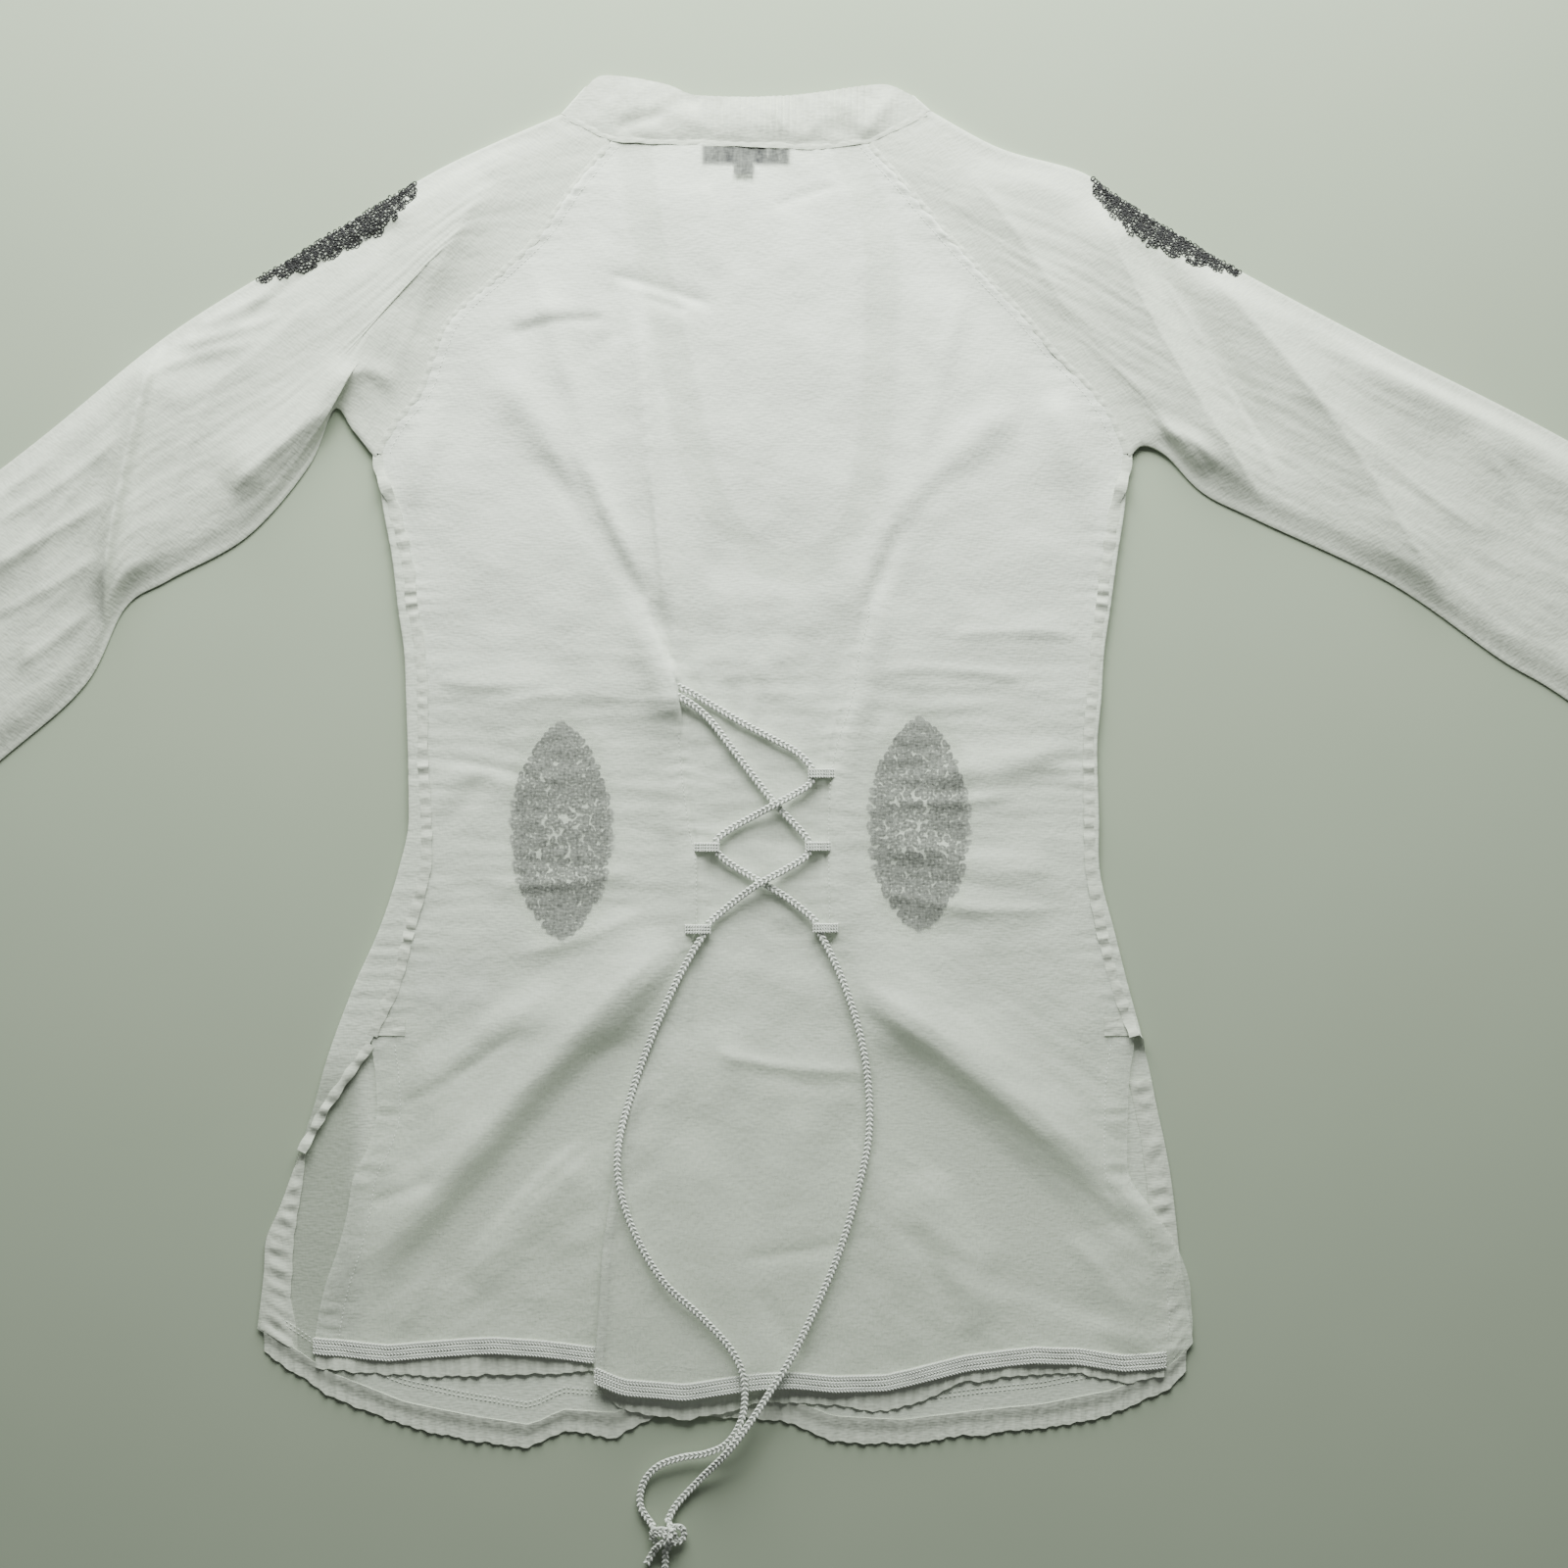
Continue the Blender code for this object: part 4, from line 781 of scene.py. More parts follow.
def laceLine(route):
    # A route's smooth line, lifted clear of what it crosses, in metres. The flat lace needs
    # less height at a crossing than the solid's round one.
    line = curveThrough(route)
    ground = laceGround(line[:, 0] / mm, line[:, 1] / mm) * mm
    high = np.array([ground[max(place - 5, 0):place + 6].max() for place in range(len(ground))])
    even = np.array([high[max(place - 4, 0):place + 5].mean() for place in range(len(high))])
    line[:, 2] = laceSize["rise"] * line[:, 2] + even + laceSize["gap"]
    return evenly(line, pitch=0.002)


braidTree = makeBraidTree()


def makeCord(name, lines, material, width, height, pitch):
    return growTree(name, pathObject(name + "Path", lines), braidTree,
                    {"Width": width, "Height": height, "Pitch": pitch,
                     "Slant": laceSize["slant"], "Columns": laceSize["columns"],
                     "Stitches": material, "Core": paintedShadeCotton})


def makeLace(name, lines, width=laceSize["width"]):
    return makeCord(name + "_braid", lines, laceCotton, width, laceSize["height"],
                    laceSize["pitch"])


def makeLaces():
    lines = {"lace_a": laceLine(laceA), "lace_b": laceLine(laceB)}
    pieces = {name: makeLace(name, [line]) for name, line in lines.items()}
    for name, route in (("lace_tail_left", tailLeft), ("lace_tail_down", tailDown)):
        pieces[name] = makeLace(name, [laceLine(route)])
    middle = np.array([*knotMiddle, 0.0])
    turns = [evenly(curveThrough(np.array(line) + middle), pitch=1.2) * mm for line in knotLines]
    pieces["lace_knot"] = makeLace("lace_knot", turns, laceSize["width"] * 0.9)
    return lines, pieces


laceLines, lacePieces = makeLaces()
print("laces made", {name: round(lineLength(line), 3) for name, line in laceLines.items()})


# Back panel

backGridSize = {"rows": 344, "side": 45, "middle": 33, "top": 368, "parting": 48}
# The pleat's columns: how far from the fold, flat and folded, then the share of the step that
# each stands at, flat and folded
pleatColumns = [(-6, -6, 0, 0), (-4.4, -2.6, 0.1, 0), (-2.8, 0.8, 0.2, 0), (-1.2, 3.6, 0.35, 0.02),
                (0, 4.6, 0.5, 0.28), (1.2, 2.4, 0.62, 0.5), (2.8, -0.6, 0.75, 0.62),
                (4.4, -1.2, 0.9, 0.86), (6, 0.4, 1, 1.02), (8, 4, 1, 1.0)]


def backGrid():
    size = backGridSize
    grid = []
    flat, fold, flatShare, foldShare = np.array(pleatColumns).T
    for y in np.linspace(size["top"], panelBottom, size["rows"]):
        left = float(bodyAt("backLeft", y)) + lay["seamGap"]
        right = float(bodyAt("backRight", y)) - lay["seamGap"]
        pleat, dart = float(bodyAt("dartLeft", y)), float(bodyAt("dartRight", y))
        folded = float(pleatShare(y))
        across = flat + (fold - flat) * folded
        shares = flatShare + (foldShare - flatShare) * folded
        xs = np.concatenate((np.linspace(left, pleat - 6, size["side"])[:-1], pleat + across,
                             np.linspace(pleat + across[-1], dart, size["middle"])[1:-1],
                             np.linspace(dart, right, size["side"])))
        share = np.concatenate((np.zeros(size["side"] - 1), shares,
                                np.ones(len(xs) - size["side"] + 1 - len(shares))))
        grid.append(np.stack((xs, np.full(len(xs), y), share), axis=1))
    grid = np.array(grid)
    x, y, share = grid[..., 0], grid[..., 1], grid[..., 2]
    # The two lengths of hem part at the pleat.
    parting = size["parting"]
    drop = np.hstack((hemDrop(backHemLeft, x[:, :parting], y[:, :parting], -240),
                      hemDrop(backHemRight, x[:, parting:], y[:, parting:], -240)))
    neck = edgeAt(neckSeam, x) - 0.2
    lift = smooth((y - 325) / 43) * (neck - size["top"])
    lift = lift * smooth(np.minimum(x - x[:, :1], x[:, -1:] - x) / 20)
    height = backLevel(x, y) + share * backRise(x, y) + tuckRise(x, y)
    return np.stack((x, y + drop + lift, height), axis=-1)


# The front's motifs: middle, half width and half height
motifs = [("embroidery_front_left", (-110.5, -27), 28, 60),
          ("embroidery_front_right", (94, -23), 28, 59)]


# How much of what lies under it each part of the cloth lets show. On the back the share grows
# from chest to waist to skirt as painted shade.
seeThroughAndShade = {"chest": 0.12, "waist": 0.32, "skirt": 0.26, "band": 0.2, "motif": 0.85,
              "label": 0.86, "slit": 0.62}


def backSeeThroughAndShade(x, y):
    # Over the motifs and the label, what lies under the back shows through. Painted shade: the
    # share grows down the back, so more of the shaded front shows and the back darkens towards the
    # bottom.
    share = (seeThroughAndShade["chest"] + seeThroughAndShade["waist"] * smooth((180 - y) / 200)
             + seeThroughAndShade["skirt"] * smooth((-60 - y) / 180))
    floor = neckOpening[-1][0]
    left, right = (tableAt(neckOpening, side, np.maximum(y, floor)) for side in (1, 2))
    beyond = np.hypot(np.maximum(np.maximum(left - x, x - right), 0), np.maximum(floor - y, 0))
    band = smooth(beyond / 4) * smooth((24 - beyond) / 6)
    share = share + seeThroughAndShade["band"] * band
    for _, middle, wide, tall in motifs:
        far = np.hypot((x - middle[0]) / wide, (y - middle[1]) / tall)
        share = share + (seeThroughAndShade["motif"] - share) * smooth((1.25 - far) / 0.3)
    label = smooth((27 - np.abs(x + 5)) / 4) * smooth((8 - np.abs(y - 360)) / 4)
    label = np.maximum(label, smooth((7 - np.abs(x + 6)) / 2) * smooth((y - 342) / 5))
    streaks = (seeThroughAndShade["label"] + 0.06 * np.sin(x * 0.55) * np.sin(x * 0.19 + 1)
               + 0.04 * bumps(x, y, 4, 1.3))
    return share + (streaks - share) * label


backPoints = backGrid()
backCloth = makeSheet("back_cloth", backPoints, backVoile)
markSeeThrough(backCloth, backSeeThroughAndShade)
print("back made", len(backCloth.data.polygons))


# Front panel

frontGridSize = {"neckRows": 66, "lowRows": 130, "side": 42, "opening": 14, "turn": 7, "over": 5}


def turnedEdge(angle, over):
    # An edge that turns by an angle and then runs on, as (along, up) from where it starts.
    size = frontGridSize
    step = lay["turnRadius"] * math.pi / size["turn"]
    along = up = 0.0
    points = []
    for place in range(size["turn"]):
        middle = angle * (place + 0.5) / size["turn"]
        along += 0.4 * step * math.cos(middle)
        up += step * math.sin(middle)
        points.append((along, up))
    for share in np.linspace(0, 1, size["over"] + 1)[1:]:
        points.append((along + over * share * math.cos(angle),
                       up + over * share * math.sin(angle)))
    return points


def frontGrid():
    size = frontGridSize
    neckFloor = neckOpening[-1][0]
    rows = np.concatenate((np.linspace(368, neckFloor, size["neckRows"]),
                           np.linspace(neckFloor, panelBottom, size["lowRows"])[1:]))
    grid = []
    for y in rows:
        left, right = float(bodyAt("outlineLeft", y)), float(bodyAt("outlineRight", y))
        wrap = float(smooth((186 - y) / 26))
        over = [float(bodyAt("frontLeft", y)) - left,
                right - float(bodyAt("backRight", y)) if y >= slitTop else 0]
        sides = []
        for beyond, down in zip(over, (-222, slitTop - 8)):
            angle = math.pi * wrap * float(smooth((y - down) / 22))
            sides.append(turnedEdge(angle, max(beyond - lay["turnRadius"], 1.6)))
        reach = [max(point[0] for point in side) for side in sides]
        innerLeft, innerRight = left + reach[0], right - reach[1]
        neckLeft, neckRight = (float(tableAt(neckOpening, side, np.array(max(y, neckFloor))))
                               for side in (1, 2))
        flat = np.concatenate((np.linspace(innerLeft, neckLeft, size["side"])[:-1],
                               np.linspace(neckLeft, neckRight, size["opening"])[:-1],
                               np.linspace(neckRight, innerRight, size["side"])))
        row = [(innerLeft - along, y, up) for along, up in reversed(sides[0])]
        row += [(x, y, 0) for x in flat]
        row += [(innerRight + along, y, up) for along, up in sides[1]]
        grid.append(row)
    grid = np.array(grid)
    x, y, up = grid[..., 0], grid[..., 1], grid[..., 2]
    drop = hemDrop(frontHem, x, y, -225)
    wave = 0.35 + 0.35 * bumps(x, y, 40, 1.7) + 0.2 * bumps(x, y, 15, 2.2)
    level = 0.42 + np.maximum(wave, 0.0) + 0.9 * smooth((-290 - y) / 40)
    for _, middle, wide, tall in motifs:
        # The two panels touch where a motif shows through.
        far = np.hypot((x - middle[0]) / (wide + 16), (y - middle[1]) / (tall + 16))
        touch = smooth((1.15 - far) / 0.4) * (up < 0.1)
        level = level + touch * np.maximum(backHeight(x, y) - 1.25 - level, 0)
    lifted = (0.35 + ladder(np.abs(up - 2.6), y, 9, 1.6, 0.8)) * (up > 1.5)
    return np.stack((x, y + drop, level + up * 0.97 + lifted), axis=-1)


frontPoints = frontGrid()
turned = frontGridSize["turn"] + frontGridSize["over"]
neckColumns = (turned + frontGridSize["side"] - 1,
               turned + frontGridSize["side"] + frontGridSize["opening"] - 2)
frontCloth = makeSheet("front_cloth", frontPoints, frontVoile,
                       skip=lambda row, place: (row < frontGridSize["neckRows"] - 1)
                       & (place >= neckColumns[0]) & (place < neckColumns[1]))
# One layer alone lies over the table in the left slit.
markSeeThrough(frontCloth, lambda x, y: seeThroughAndShade["slit"] * smooth((-150 - y) / 30)
               * smooth((-222 - x) / 12))
print("front made", len(frontCloth.data.polygons))


# Sleeves

sleeveGridSize = {"rings": 250, "upper": 62, "turn": 5, "lower": 24, "samples": 400}
# About how long and wide a sleeve is, for the spacing of its puckers and wrinkles
sleeveMm = {"length": 560, "width": 180, "wrinkleWidth": 190, "seam": 230}
Sleeve = namedtuple("Sleeve", "name side top bottom folds creases")
sleeves = [
    Sleeve("sleeve_left", -1,
           [(-110, 383), (-160, 362), (-190, 347), (-240, 317), (-264, 302), (-339, 255),
            (-431, 181), (-609, 51)],
           [(-216.5, 186), (-230, 203), (-241, 215), (-256, 182), (-291, 142), (-336, 117),
            (-361, 101), (-384, 57), (-431, 15), (-524, -60)],
           [(-332, 248, -362, 180, -368, 98, 15, 4.0, 0.4),
            (-205, 330, -250, 300, -295, 262, 16, -2.5),
            (-225, 235, -262, 200, -300, 165, 13, 4.0, -0.3),
            (-150, 345, -190, 300, -215, 240, 16, 2.5), (-420, 160, -480, 90, -560, 10, 18, 3.0)],
           [(-338, 255, -360, 180, -372, 95, 12, 4.2, -0.9),
            (-342, 250, -350, 205, -352, 150, 3, -0.6),
            (-200, 320, -242, 311, -296, 262, 5, -1.2, 0.4),
            (-238, 226, -224, 246, -205, 226, 5, 1.4, 0.4),
            (-241, 214, -267, 196, -298, 167, 3.4, 1.2, -0.4),
            (-300, 240, -330, 190, -340, 130, 6, 0.9),
            (-390, 190, -405, 130, -420, 60, 7, 1.1, 0.3),
            (-350, 215, -390, 160, -440, 110, 6, 0.8), (-470, 120, -500, 60, -520, 0, 7, 1.0),
            (-160, 330, -190, 280, -206, 236, 5, 0.9), (-250, 280, -285, 240, -330, 215, 6, 0.8),
            (-322, 262, -300, 267, -274, 284, 2.6, 1.0),
            (-330, 250, -306, 255, -270, 268, 2.4, 1.1),
            (-338, 236, -318, 246, -288, 252, 2.6, 0.9),
            (-432, 150, -395, 168, -362, 197, 2.8, 1.1),
            (-440, 120, -405, 140, -368, 162, 2.6, 1.2),
            (-436, 95, -400, 112, -373, 130, 2.6, 1.0), (-420, 68, -396, 84, -375, 102, 2.6, 1.1),
            (-480, 122, -440, 160, -400, 186, 3.0, 1.0)]),
    Sleeve("sleeve_right", 1,
           [(100, 385), (140, 364), (186, 351), (210, 335), (267, 300), (357, 252),
            (465, 197), (630, 102)],
           [(214, 186), (222, 194), (236, 188), (257, 167), (289, 151), (365, 115),
            (427, 72), (465, 49), (560, -19)],
           [(192, 335, 222, 265, 285, 158, 14, 3.8, -0.3),
            (215, 318, 258, 250, 300, 185, 11, -2.5),
            (252, 300, 340, 215, 392, 105, 15, 3.2, -0.3),
            (340, 245, 430, 200, 540, 120, 14, 2.8), (215, 198, 245, 205, 262, 172, 8, 3.2)],
           [(195, 335, 222, 262, 290, 163, 2.8, 1.3, -0.5),
            (225, 300, 262, 248, 300, 170, 2.8, 1.1, -0.5),
            (215, 315, 256, 250, 302, 182, 4, -1.1), (250, 300, 340, 210, 395, 100, 4, 1.1, -0.4),
            (340, 245, 402, 214, 466, 182, 4, 1.0, 0.4),
            (350, 246, 402, 222, 462, 197, 2.4, -0.8), (215, 196, 243, 204, 258, 188, 3, 1.2),
            (228, 196, 252, 202, 264, 172, 5, -1.6), (300, 240, 350, 190, 420, 140, 6, 0.9),
            (410, 200, 450, 150, 480, 80, 7, 1.0), (470, 170, 520, 120, 560, 60, 7, 0.9),
            (120, 350, 150, 320, 178, 270, 5, 0.8)]),
]


def sleeveUpper(sleeve):
    # The upper cloth's places: the share along the sleeve and from its top to its lower edge.
    size = sleeveGridSize
    name = "backLeft" if sleeve.side < 0 else "backRight"
    neck = neckSeam[:3] if sleeve.side < 0 else neckSeam[:-4:-1]
    marks = np.linspace(0, 12, size["upper"])
    neckX, neckY = (np.interp(marks, (0, 1, 2), values) for values in zip(*neck))
    seamY = np.where(marks < 2, neckY,
                     np.interp(marks, range(2, 13), (neck[2][1],) + raglanRows[1:]))
    seamX = np.where(marks < 2, neckX, bodyAt(name, np.minimum(seamY, raglanRows[0])))
    seam = np.stack((seamX, seamY), axis=1)
    s = np.linspace(0, 1, size["rings"])[:, None]
    share = (marks / 12)[None, :]
    picked = np.round(s[:, 0] * size["samples"]).astype(int)
    upper, lower = (evenly(curveThrough(edge, 24), count=size["samples"])[picked][:, None, :]
                    for edge in (sleeve.top, sleeve.bottom))
    bow = seam - (seam[0] + (seam[-1] - seam[0]) * share[0][:, None])
    place = upper + (lower - upper) * share[..., None] + bow[None] * ((1 - s) ** 3)[..., None]
    return place, s, share


def sleeveHeight(sleeve, place, s, share):
    x, y = place[..., 0], place[..., 1]
    edge = smooth(share * 7) * smooth((1 - share) * 7) * smooth(s * 9)
    height = edge * softFloor(2.0 + 1.4 * foldRelief(sleeve.folds, x, y))
    fineEdge = smooth(share * 16) * smooth((1 - share) * 16) * smooth(s * 40)
    fine = 1.7 * foldRelief(sleeve.creases, x, y, crisp=True)
    fine = fine + 0.8 * bumps(x, y, 34, 4.4 + sleeve.side)
    fine = fine + 0.26 * bumps(x * 1.2, y, 14, 6.1) + 0.12 * bumps(x, y, 7.5, 9.2)
    # Long fine wrinkles run down the sleeve.
    down = s * sleeveMm["length"]
    fine = fine + 0.5 * bumps(down * 0.2 + share * 14, share * sleeveMm["wrinkleWidth"], 6.5, 41.3)
    seamSide = ladder(down, share * sleeveMm["seam"], 6.2, 8, 0.5) * smooth(s * 300)
    edges = (ladder(share * sleeveMm["width"], down, 9.5, 8, 0.22)
             + ladder((1 - share) * sleeveMm["width"], down, 7.5, 9, 0.3))
    edges = edges * smooth(share * 60) * smooth((1 - share) * 60)
    # Away from the body the sleeve is pressed thin at its two edges.
    pressed = 2.1 * smooth(s * 7) * (1 - smooth(share * 9) * smooth((1 - share) * 9))
    return upperLevel + height + fine * fineEdge + seamSide + edges - pressed


def foldUnder(end, z, outward, count, bulge=1.0):
    # Points that round an edge from the upper cloth down to the one on the table.
    radius = (z - lay["wallMiddle"]) / 2
    angles = math.pi * (np.arange(count) + 1) / (count + 1)
    flat = end + outward * (bulge * radius * np.sin(angles))[:, None]
    return np.column_stack((flat, z - radius * (1 - np.cos(angles))))


def sleeveGrid(sleeve):
    size = sleeveGridSize
    place, s, share = sleeveUpper(sleeve)
    heights = sleeveHeight(sleeve, place, s, share)
    rings = []
    for row, height in zip(place, heights):
        ends = []
        for end, beside, z in ((row[-1], row[-2], height[-1]), (row[0], row[1], height[0])):
            outward = (end - beside) / np.linalg.norm(end - beside)
            ends.append(foldUnder(end, z, outward, size["turn"], 0.35))
        under = evenly(row[::-1], count=size["lower"])
        under = np.column_stack((under, np.full(len(under), lay["wallMiddle"] - 0.08)))
        rings.append(np.vstack((np.column_stack((row, height)), ends[0], under, ends[1][::-1])))
    return np.array(rings)


sleeveCloths = []
sleeveTops = {}
for sleeve, material in zip(sleeves, sleeveVoiles):
    points = sleeveGrid(sleeve)
    sleeveTops[sleeve.name] = points[:, :sleeveGridSize["upper"]]
    sleeveCloths.append(makeSheet(sleeve.name + "_cloth", points, material, closed=True))
print("sleeves made", [len(item.data.polygons) for item in sleeveCloths])


# Collar

collar = {"columns": 240, "rows": 18, "cloth": 0.7, "gatherPitch": 3.6}
collarTop = [(-96, 399), (-88, 405), (-70, 404), (-50, 400), (-35, 394.5), (-10, 393),
             (20, 394), (40, 396), (60, 399), (76, 400), (90, 394)]
collarFolds = [(-80, 375, -66, 380, -50, 383, 4, -1.2), (-50, 390, -40, 391, -30, 388, 4, -0.9),
               (60, 372, 74, 384, 80, 396, 4, 0.8)]
# The ways in which the band turns under at its left and right end
collarEnds = np.array([(-0.94, -0.34), (0.94, -0.34)])


def collarGrid():
    count = collar["columns"]
    low = evenly(curveThrough(neckSeam, 24), count=count)
    high = evenly(curveThrough(collarTop, 24), count=count)
    share = np.linspace(0, 1, collar["rows"])[:, None]
    x = low[:, 0] + (high[:, 0] - low[:, 0]) * share
    y = low[:, 1] + (high[:, 1] - low[:, 1]) * share + 0.3 * (1 - share)
    place = np.arange(count + 1)[None, :]
    ends = smooth(np.minimum(place, count - place) / (count * 0.2))
    right = smooth((x + 40) / 30)
    gather = np.sin(x * math.tau / collar["gatherPitch"] + 1.4 * np.sin(x / 7))
    uneven = (0.3 + 0.7 * right) * (0.7 + bumps(x, y, 20, 6.6))
    height = 0.8 * gather * smooth(share * 1.6) * uneven
    height = height + 1.6 * np.sin(math.pi * share) * ends + 0.5 * share
    height = height + 1.1 * bumps(x, y, 16, 2.9) * ends + 0.45 * bumps(x, y, 6.5, 5.1)
    height = height + foldRelief(collarFolds, x, y)
    z = upperLevel + height * smooth(share * 8 + 0.1) * np.minimum(ends + 0.3, 1)
    rows = []
    for index in range(collar["rows"]):
        row = np.column_stack((x[index], y[index], z[index]))
        turns = []
        for end, outward in ((row[-1], collarEnds[1]), (row[0], collarEnds[0])):
            turn = foldUnder(end[:2], end[2], outward, 5)
            under = (row if outward[0] < 0 else row[::-1])[1:22:2].copy()
            under[:, 2] = lay["wallMiddle"]
            turns.append(np.vstack((turn, under)))
        rows.append(np.vstack((turns[1][::-1], row, turns[0])))
    return np.array(rows)


collarPoints = collarGrid()
collarCloth = makeSheet("collar_cloth", collarPoints, doubledVoile, collar["cloth"])
print("collar made")


# Ruffles, facings and braid

# A ruffle's free edge and its lift at the panel, for the back and for the front
ruffle = {"pitch": 8.0, "perWave": 10, "rows": 8, "height": 0.5, "back": (2.3, -0.2),
          "front": (0.6, 0.42)}
# The back's last row, parted at the pleat
hemRows = {"left": backPoints[-1][:backGridSize["parting"]],
           "right": backPoints[-1][backGridSize["parting"] + 4:]}


def ruffleGrid(line, table, base, lift):
    # A gathered strip from a panel's last row down to its free edge.
    line = line[np.argsort(line[:, 0])]
    start, end = line[0, 0] + 0.6, line[-1, 0] - 0.6
    waves = round((end - start) / ruffle["pitch"])
    x = np.linspace(start, end, waves * ruffle["perWave"] + 1)
    share = np.linspace(0, 1, ruffle["rows"])[:, None]
    depth = edgeAt(table, x, 2)
    phase = np.arange(len(x)) * math.tau / ruffle["perWave"] + 1.5 * np.sin(x * 0.07)
    uneven = 0.75 + 0.5 * bumps(x, x * 0, 13, 4.0)
    sway = (1 - np.cos(phase)) * uneven
    fine = 0.22 * np.sin(phase * 2.6 + 1)
    edge = 0.3 * np.sin(phase) + 1.3 * bumps(x, x * 0, 15, 9.4) + 0.6 * bumps(x, x * 0, 6, 3.4)
    y = edgeAt(line, x) + 2 * (1 - share) - (depth + 0.3) * share + edge * share
    start = edgeAt(line, x, 2) + lift
    level = start + (base - start) * smooth(share * 1.6)
    z = level + (ruffle["height"] * sway * 0.9 + fine) * share
    return np.stack((np.broadcast_to(x, z.shape), y, z), axis=-1)


def makeRuffles():
    front = frontPoints[-1][turned:-turned]
    pieces = {}
    for side, line, table in (("left", hemRows["left"], backHemLeft),
                              ("right", hemRows["right"], backHemRight),
                              ("front", front, frontHem)):
        name = "hem_ruffle_" + side
        base, lift = ruffle["front" if side == "front" else "back"]
        pieces[name] = makeSheet(name + "_cloth", ruffleGrid(line, table, base, lift),
                                 doubledVoile)
    return pieces


ruffleCloths = makeRuffles()


def surfaceLine(points, lift):
    # A line in millimetres on the back panel, lifted off it, in metres.
    points = np.array(points, float)
    height = backHeight(points[:, 0], points[:, 1]) + lift
    return np.column_stack((points[:, 0], points[:, 1], height)) * mm


hemBraid = {"rows": 3, "rowWidth": 3.3, "height": 1.2, "pitch": 1.8, "lift": 0.75,
            "firstRow": 1.2, "tapeEdges": (-0.6, 9.6), "tapeLift": 0.45}


def makeHemBraids():
    pieces = {}
    for side, line in hemRows.items():
        name = "hem_braid_" + side
        lines = []
        for row in range(hemBraid["rows"]):
            up = hemBraid["firstRow"] + hemBraid["rowWidth"] * row
            moved = line + np.array([0, up, hemBraid["lift"]])
            moved[:, 2] += 0.15 * np.sin(np.arange(len(moved)) * 0.9 + row)
            lines.append(evenly(moved, pitch=2.0) * mm)
        tape = [line + np.array([0, up, hemBraid["tapeLift"]])
                for up in np.linspace(*hemBraid["tapeEdges"], 6)]
        pieces[name] = (makeCord(name + "_cords", lines, mercerised, hemBraid["rowWidth"] * mm,
                                 hemBraid["height"] * mm, hemBraid["pitch"] * mm),
                        makeSheet(name + "_tape", tape, doubledVoile))
    return pieces


hemBraids = makeHemBraids()
print("hem made")


# Inner edges of the facings that show through the slits: y and x
facingEdges = {"slit_facing_left": [(-212, -257.5), (-235, -260), (-260, -264), (-300, -266),
                                    (-320, -262), (-329, -262)],
               "slit_facing_right": [(-170, 214), (-200, 221), (-240, 226), (-280, 229),
                                     (-325, 232)]}


def makeFacings():
    # The front's slit facings: folded strips along its edges, puckered like a ladder.
    pieces = {}
    for name, table in facingEdges.items():
        edge = np.array(table, float)
        left = name.endswith("left")
        outline = "outlineLeft" if left else "outlineRight"
        y = np.linspace(edge[0, 0], edge[-1, 0], 110)[:, None]
        inner = np.interp(-y, -edge[:, 0], edge[:, 1]) + 0.7 * bumps(y * 0, y, 9, 2.2)
        outer = bodyAt(outline, y) + (0.4 if left else -0.4)
        share = np.linspace(0, 1, 12)
        x = outer + (inner - outer) * share
        drop = hemDrop(frontHem, x, y, -225)
        wander = y + 2.2 * np.sin(y / 13.0)
        slack = 0.3 + 0.35 * bumps(y * 0, y, 14, 8.1)
        puff = np.sin(math.pi * share) * (0.9 + slack * np.sin(wander * math.tau / 11 + share))
        fine = 0.8 * bumps(x, y, 9, 4.9) * np.sin(math.pi * share)
        pieces[name] = makeSheet(name + "_cloth",
                                 np.stack((x, y + drop, 1.35 + puff + fine), axis=-1),
                                 doubledVoile, 0.5)
    return pieces


facingCloths = makeFacings()


def makeNeckFacing():
    # The band along the front's neck opening, seen through the back.
    opening = np.array(neckOpening, float)
    ys = np.linspace(358, neckOpening[-1][0] + 1, 60)
    left = np.column_stack((tableAt(neckOpening, 1, ys), ys))
    right = np.column_stack((tableAt(neckOpening, 2, ys), ys))[::-1]
    bottom = np.linspace((opening[-1, 1] + 2, opening[-1, 0]), (opening[-1, 2] - 2,
                                                                opening[-1, 0]), 5)
    path = evenly(np.vstack((left, bottom, right)), count=150)
    ahead = np.gradient(path, axis=0)
    outward = np.column_stack((ahead[:, 1], -ahead[:, 0]))
    outward /= np.linalg.norm(outward, axis=1)[:, None]
    grid = []
    for distance in (0.6, 7, 14, 22):
        row = path + outward * distance
        wave = 0.15 * bumps(row[:, 0], row[:, 1], 9, 7.7)
        grid.append(np.column_stack((row, 1.75 + wave)))
    return makeSheet("neck_facing_cloth", grid, doubledVoile, 0.35)


neckFacingCloth = makeNeckFacing()


# Seams: a narrow, puckered welt lies over each

Seam = namedtuple("Seam", "name line width pitch puff")
seamCloth = {"thickness": 0.3, "lift": 0.12, "step": 0.9}


def seamHeight(y, *surfaces):
    # The higher of the surfaces' edges at each y.
    heights = []
    for edge in surfaces:
        edge = edge[np.argsort(edge[:, 1])]
        heights.append(np.interp(y, edge[:, 1], edge[:, 2]))
    return np.max(heights, axis=0)


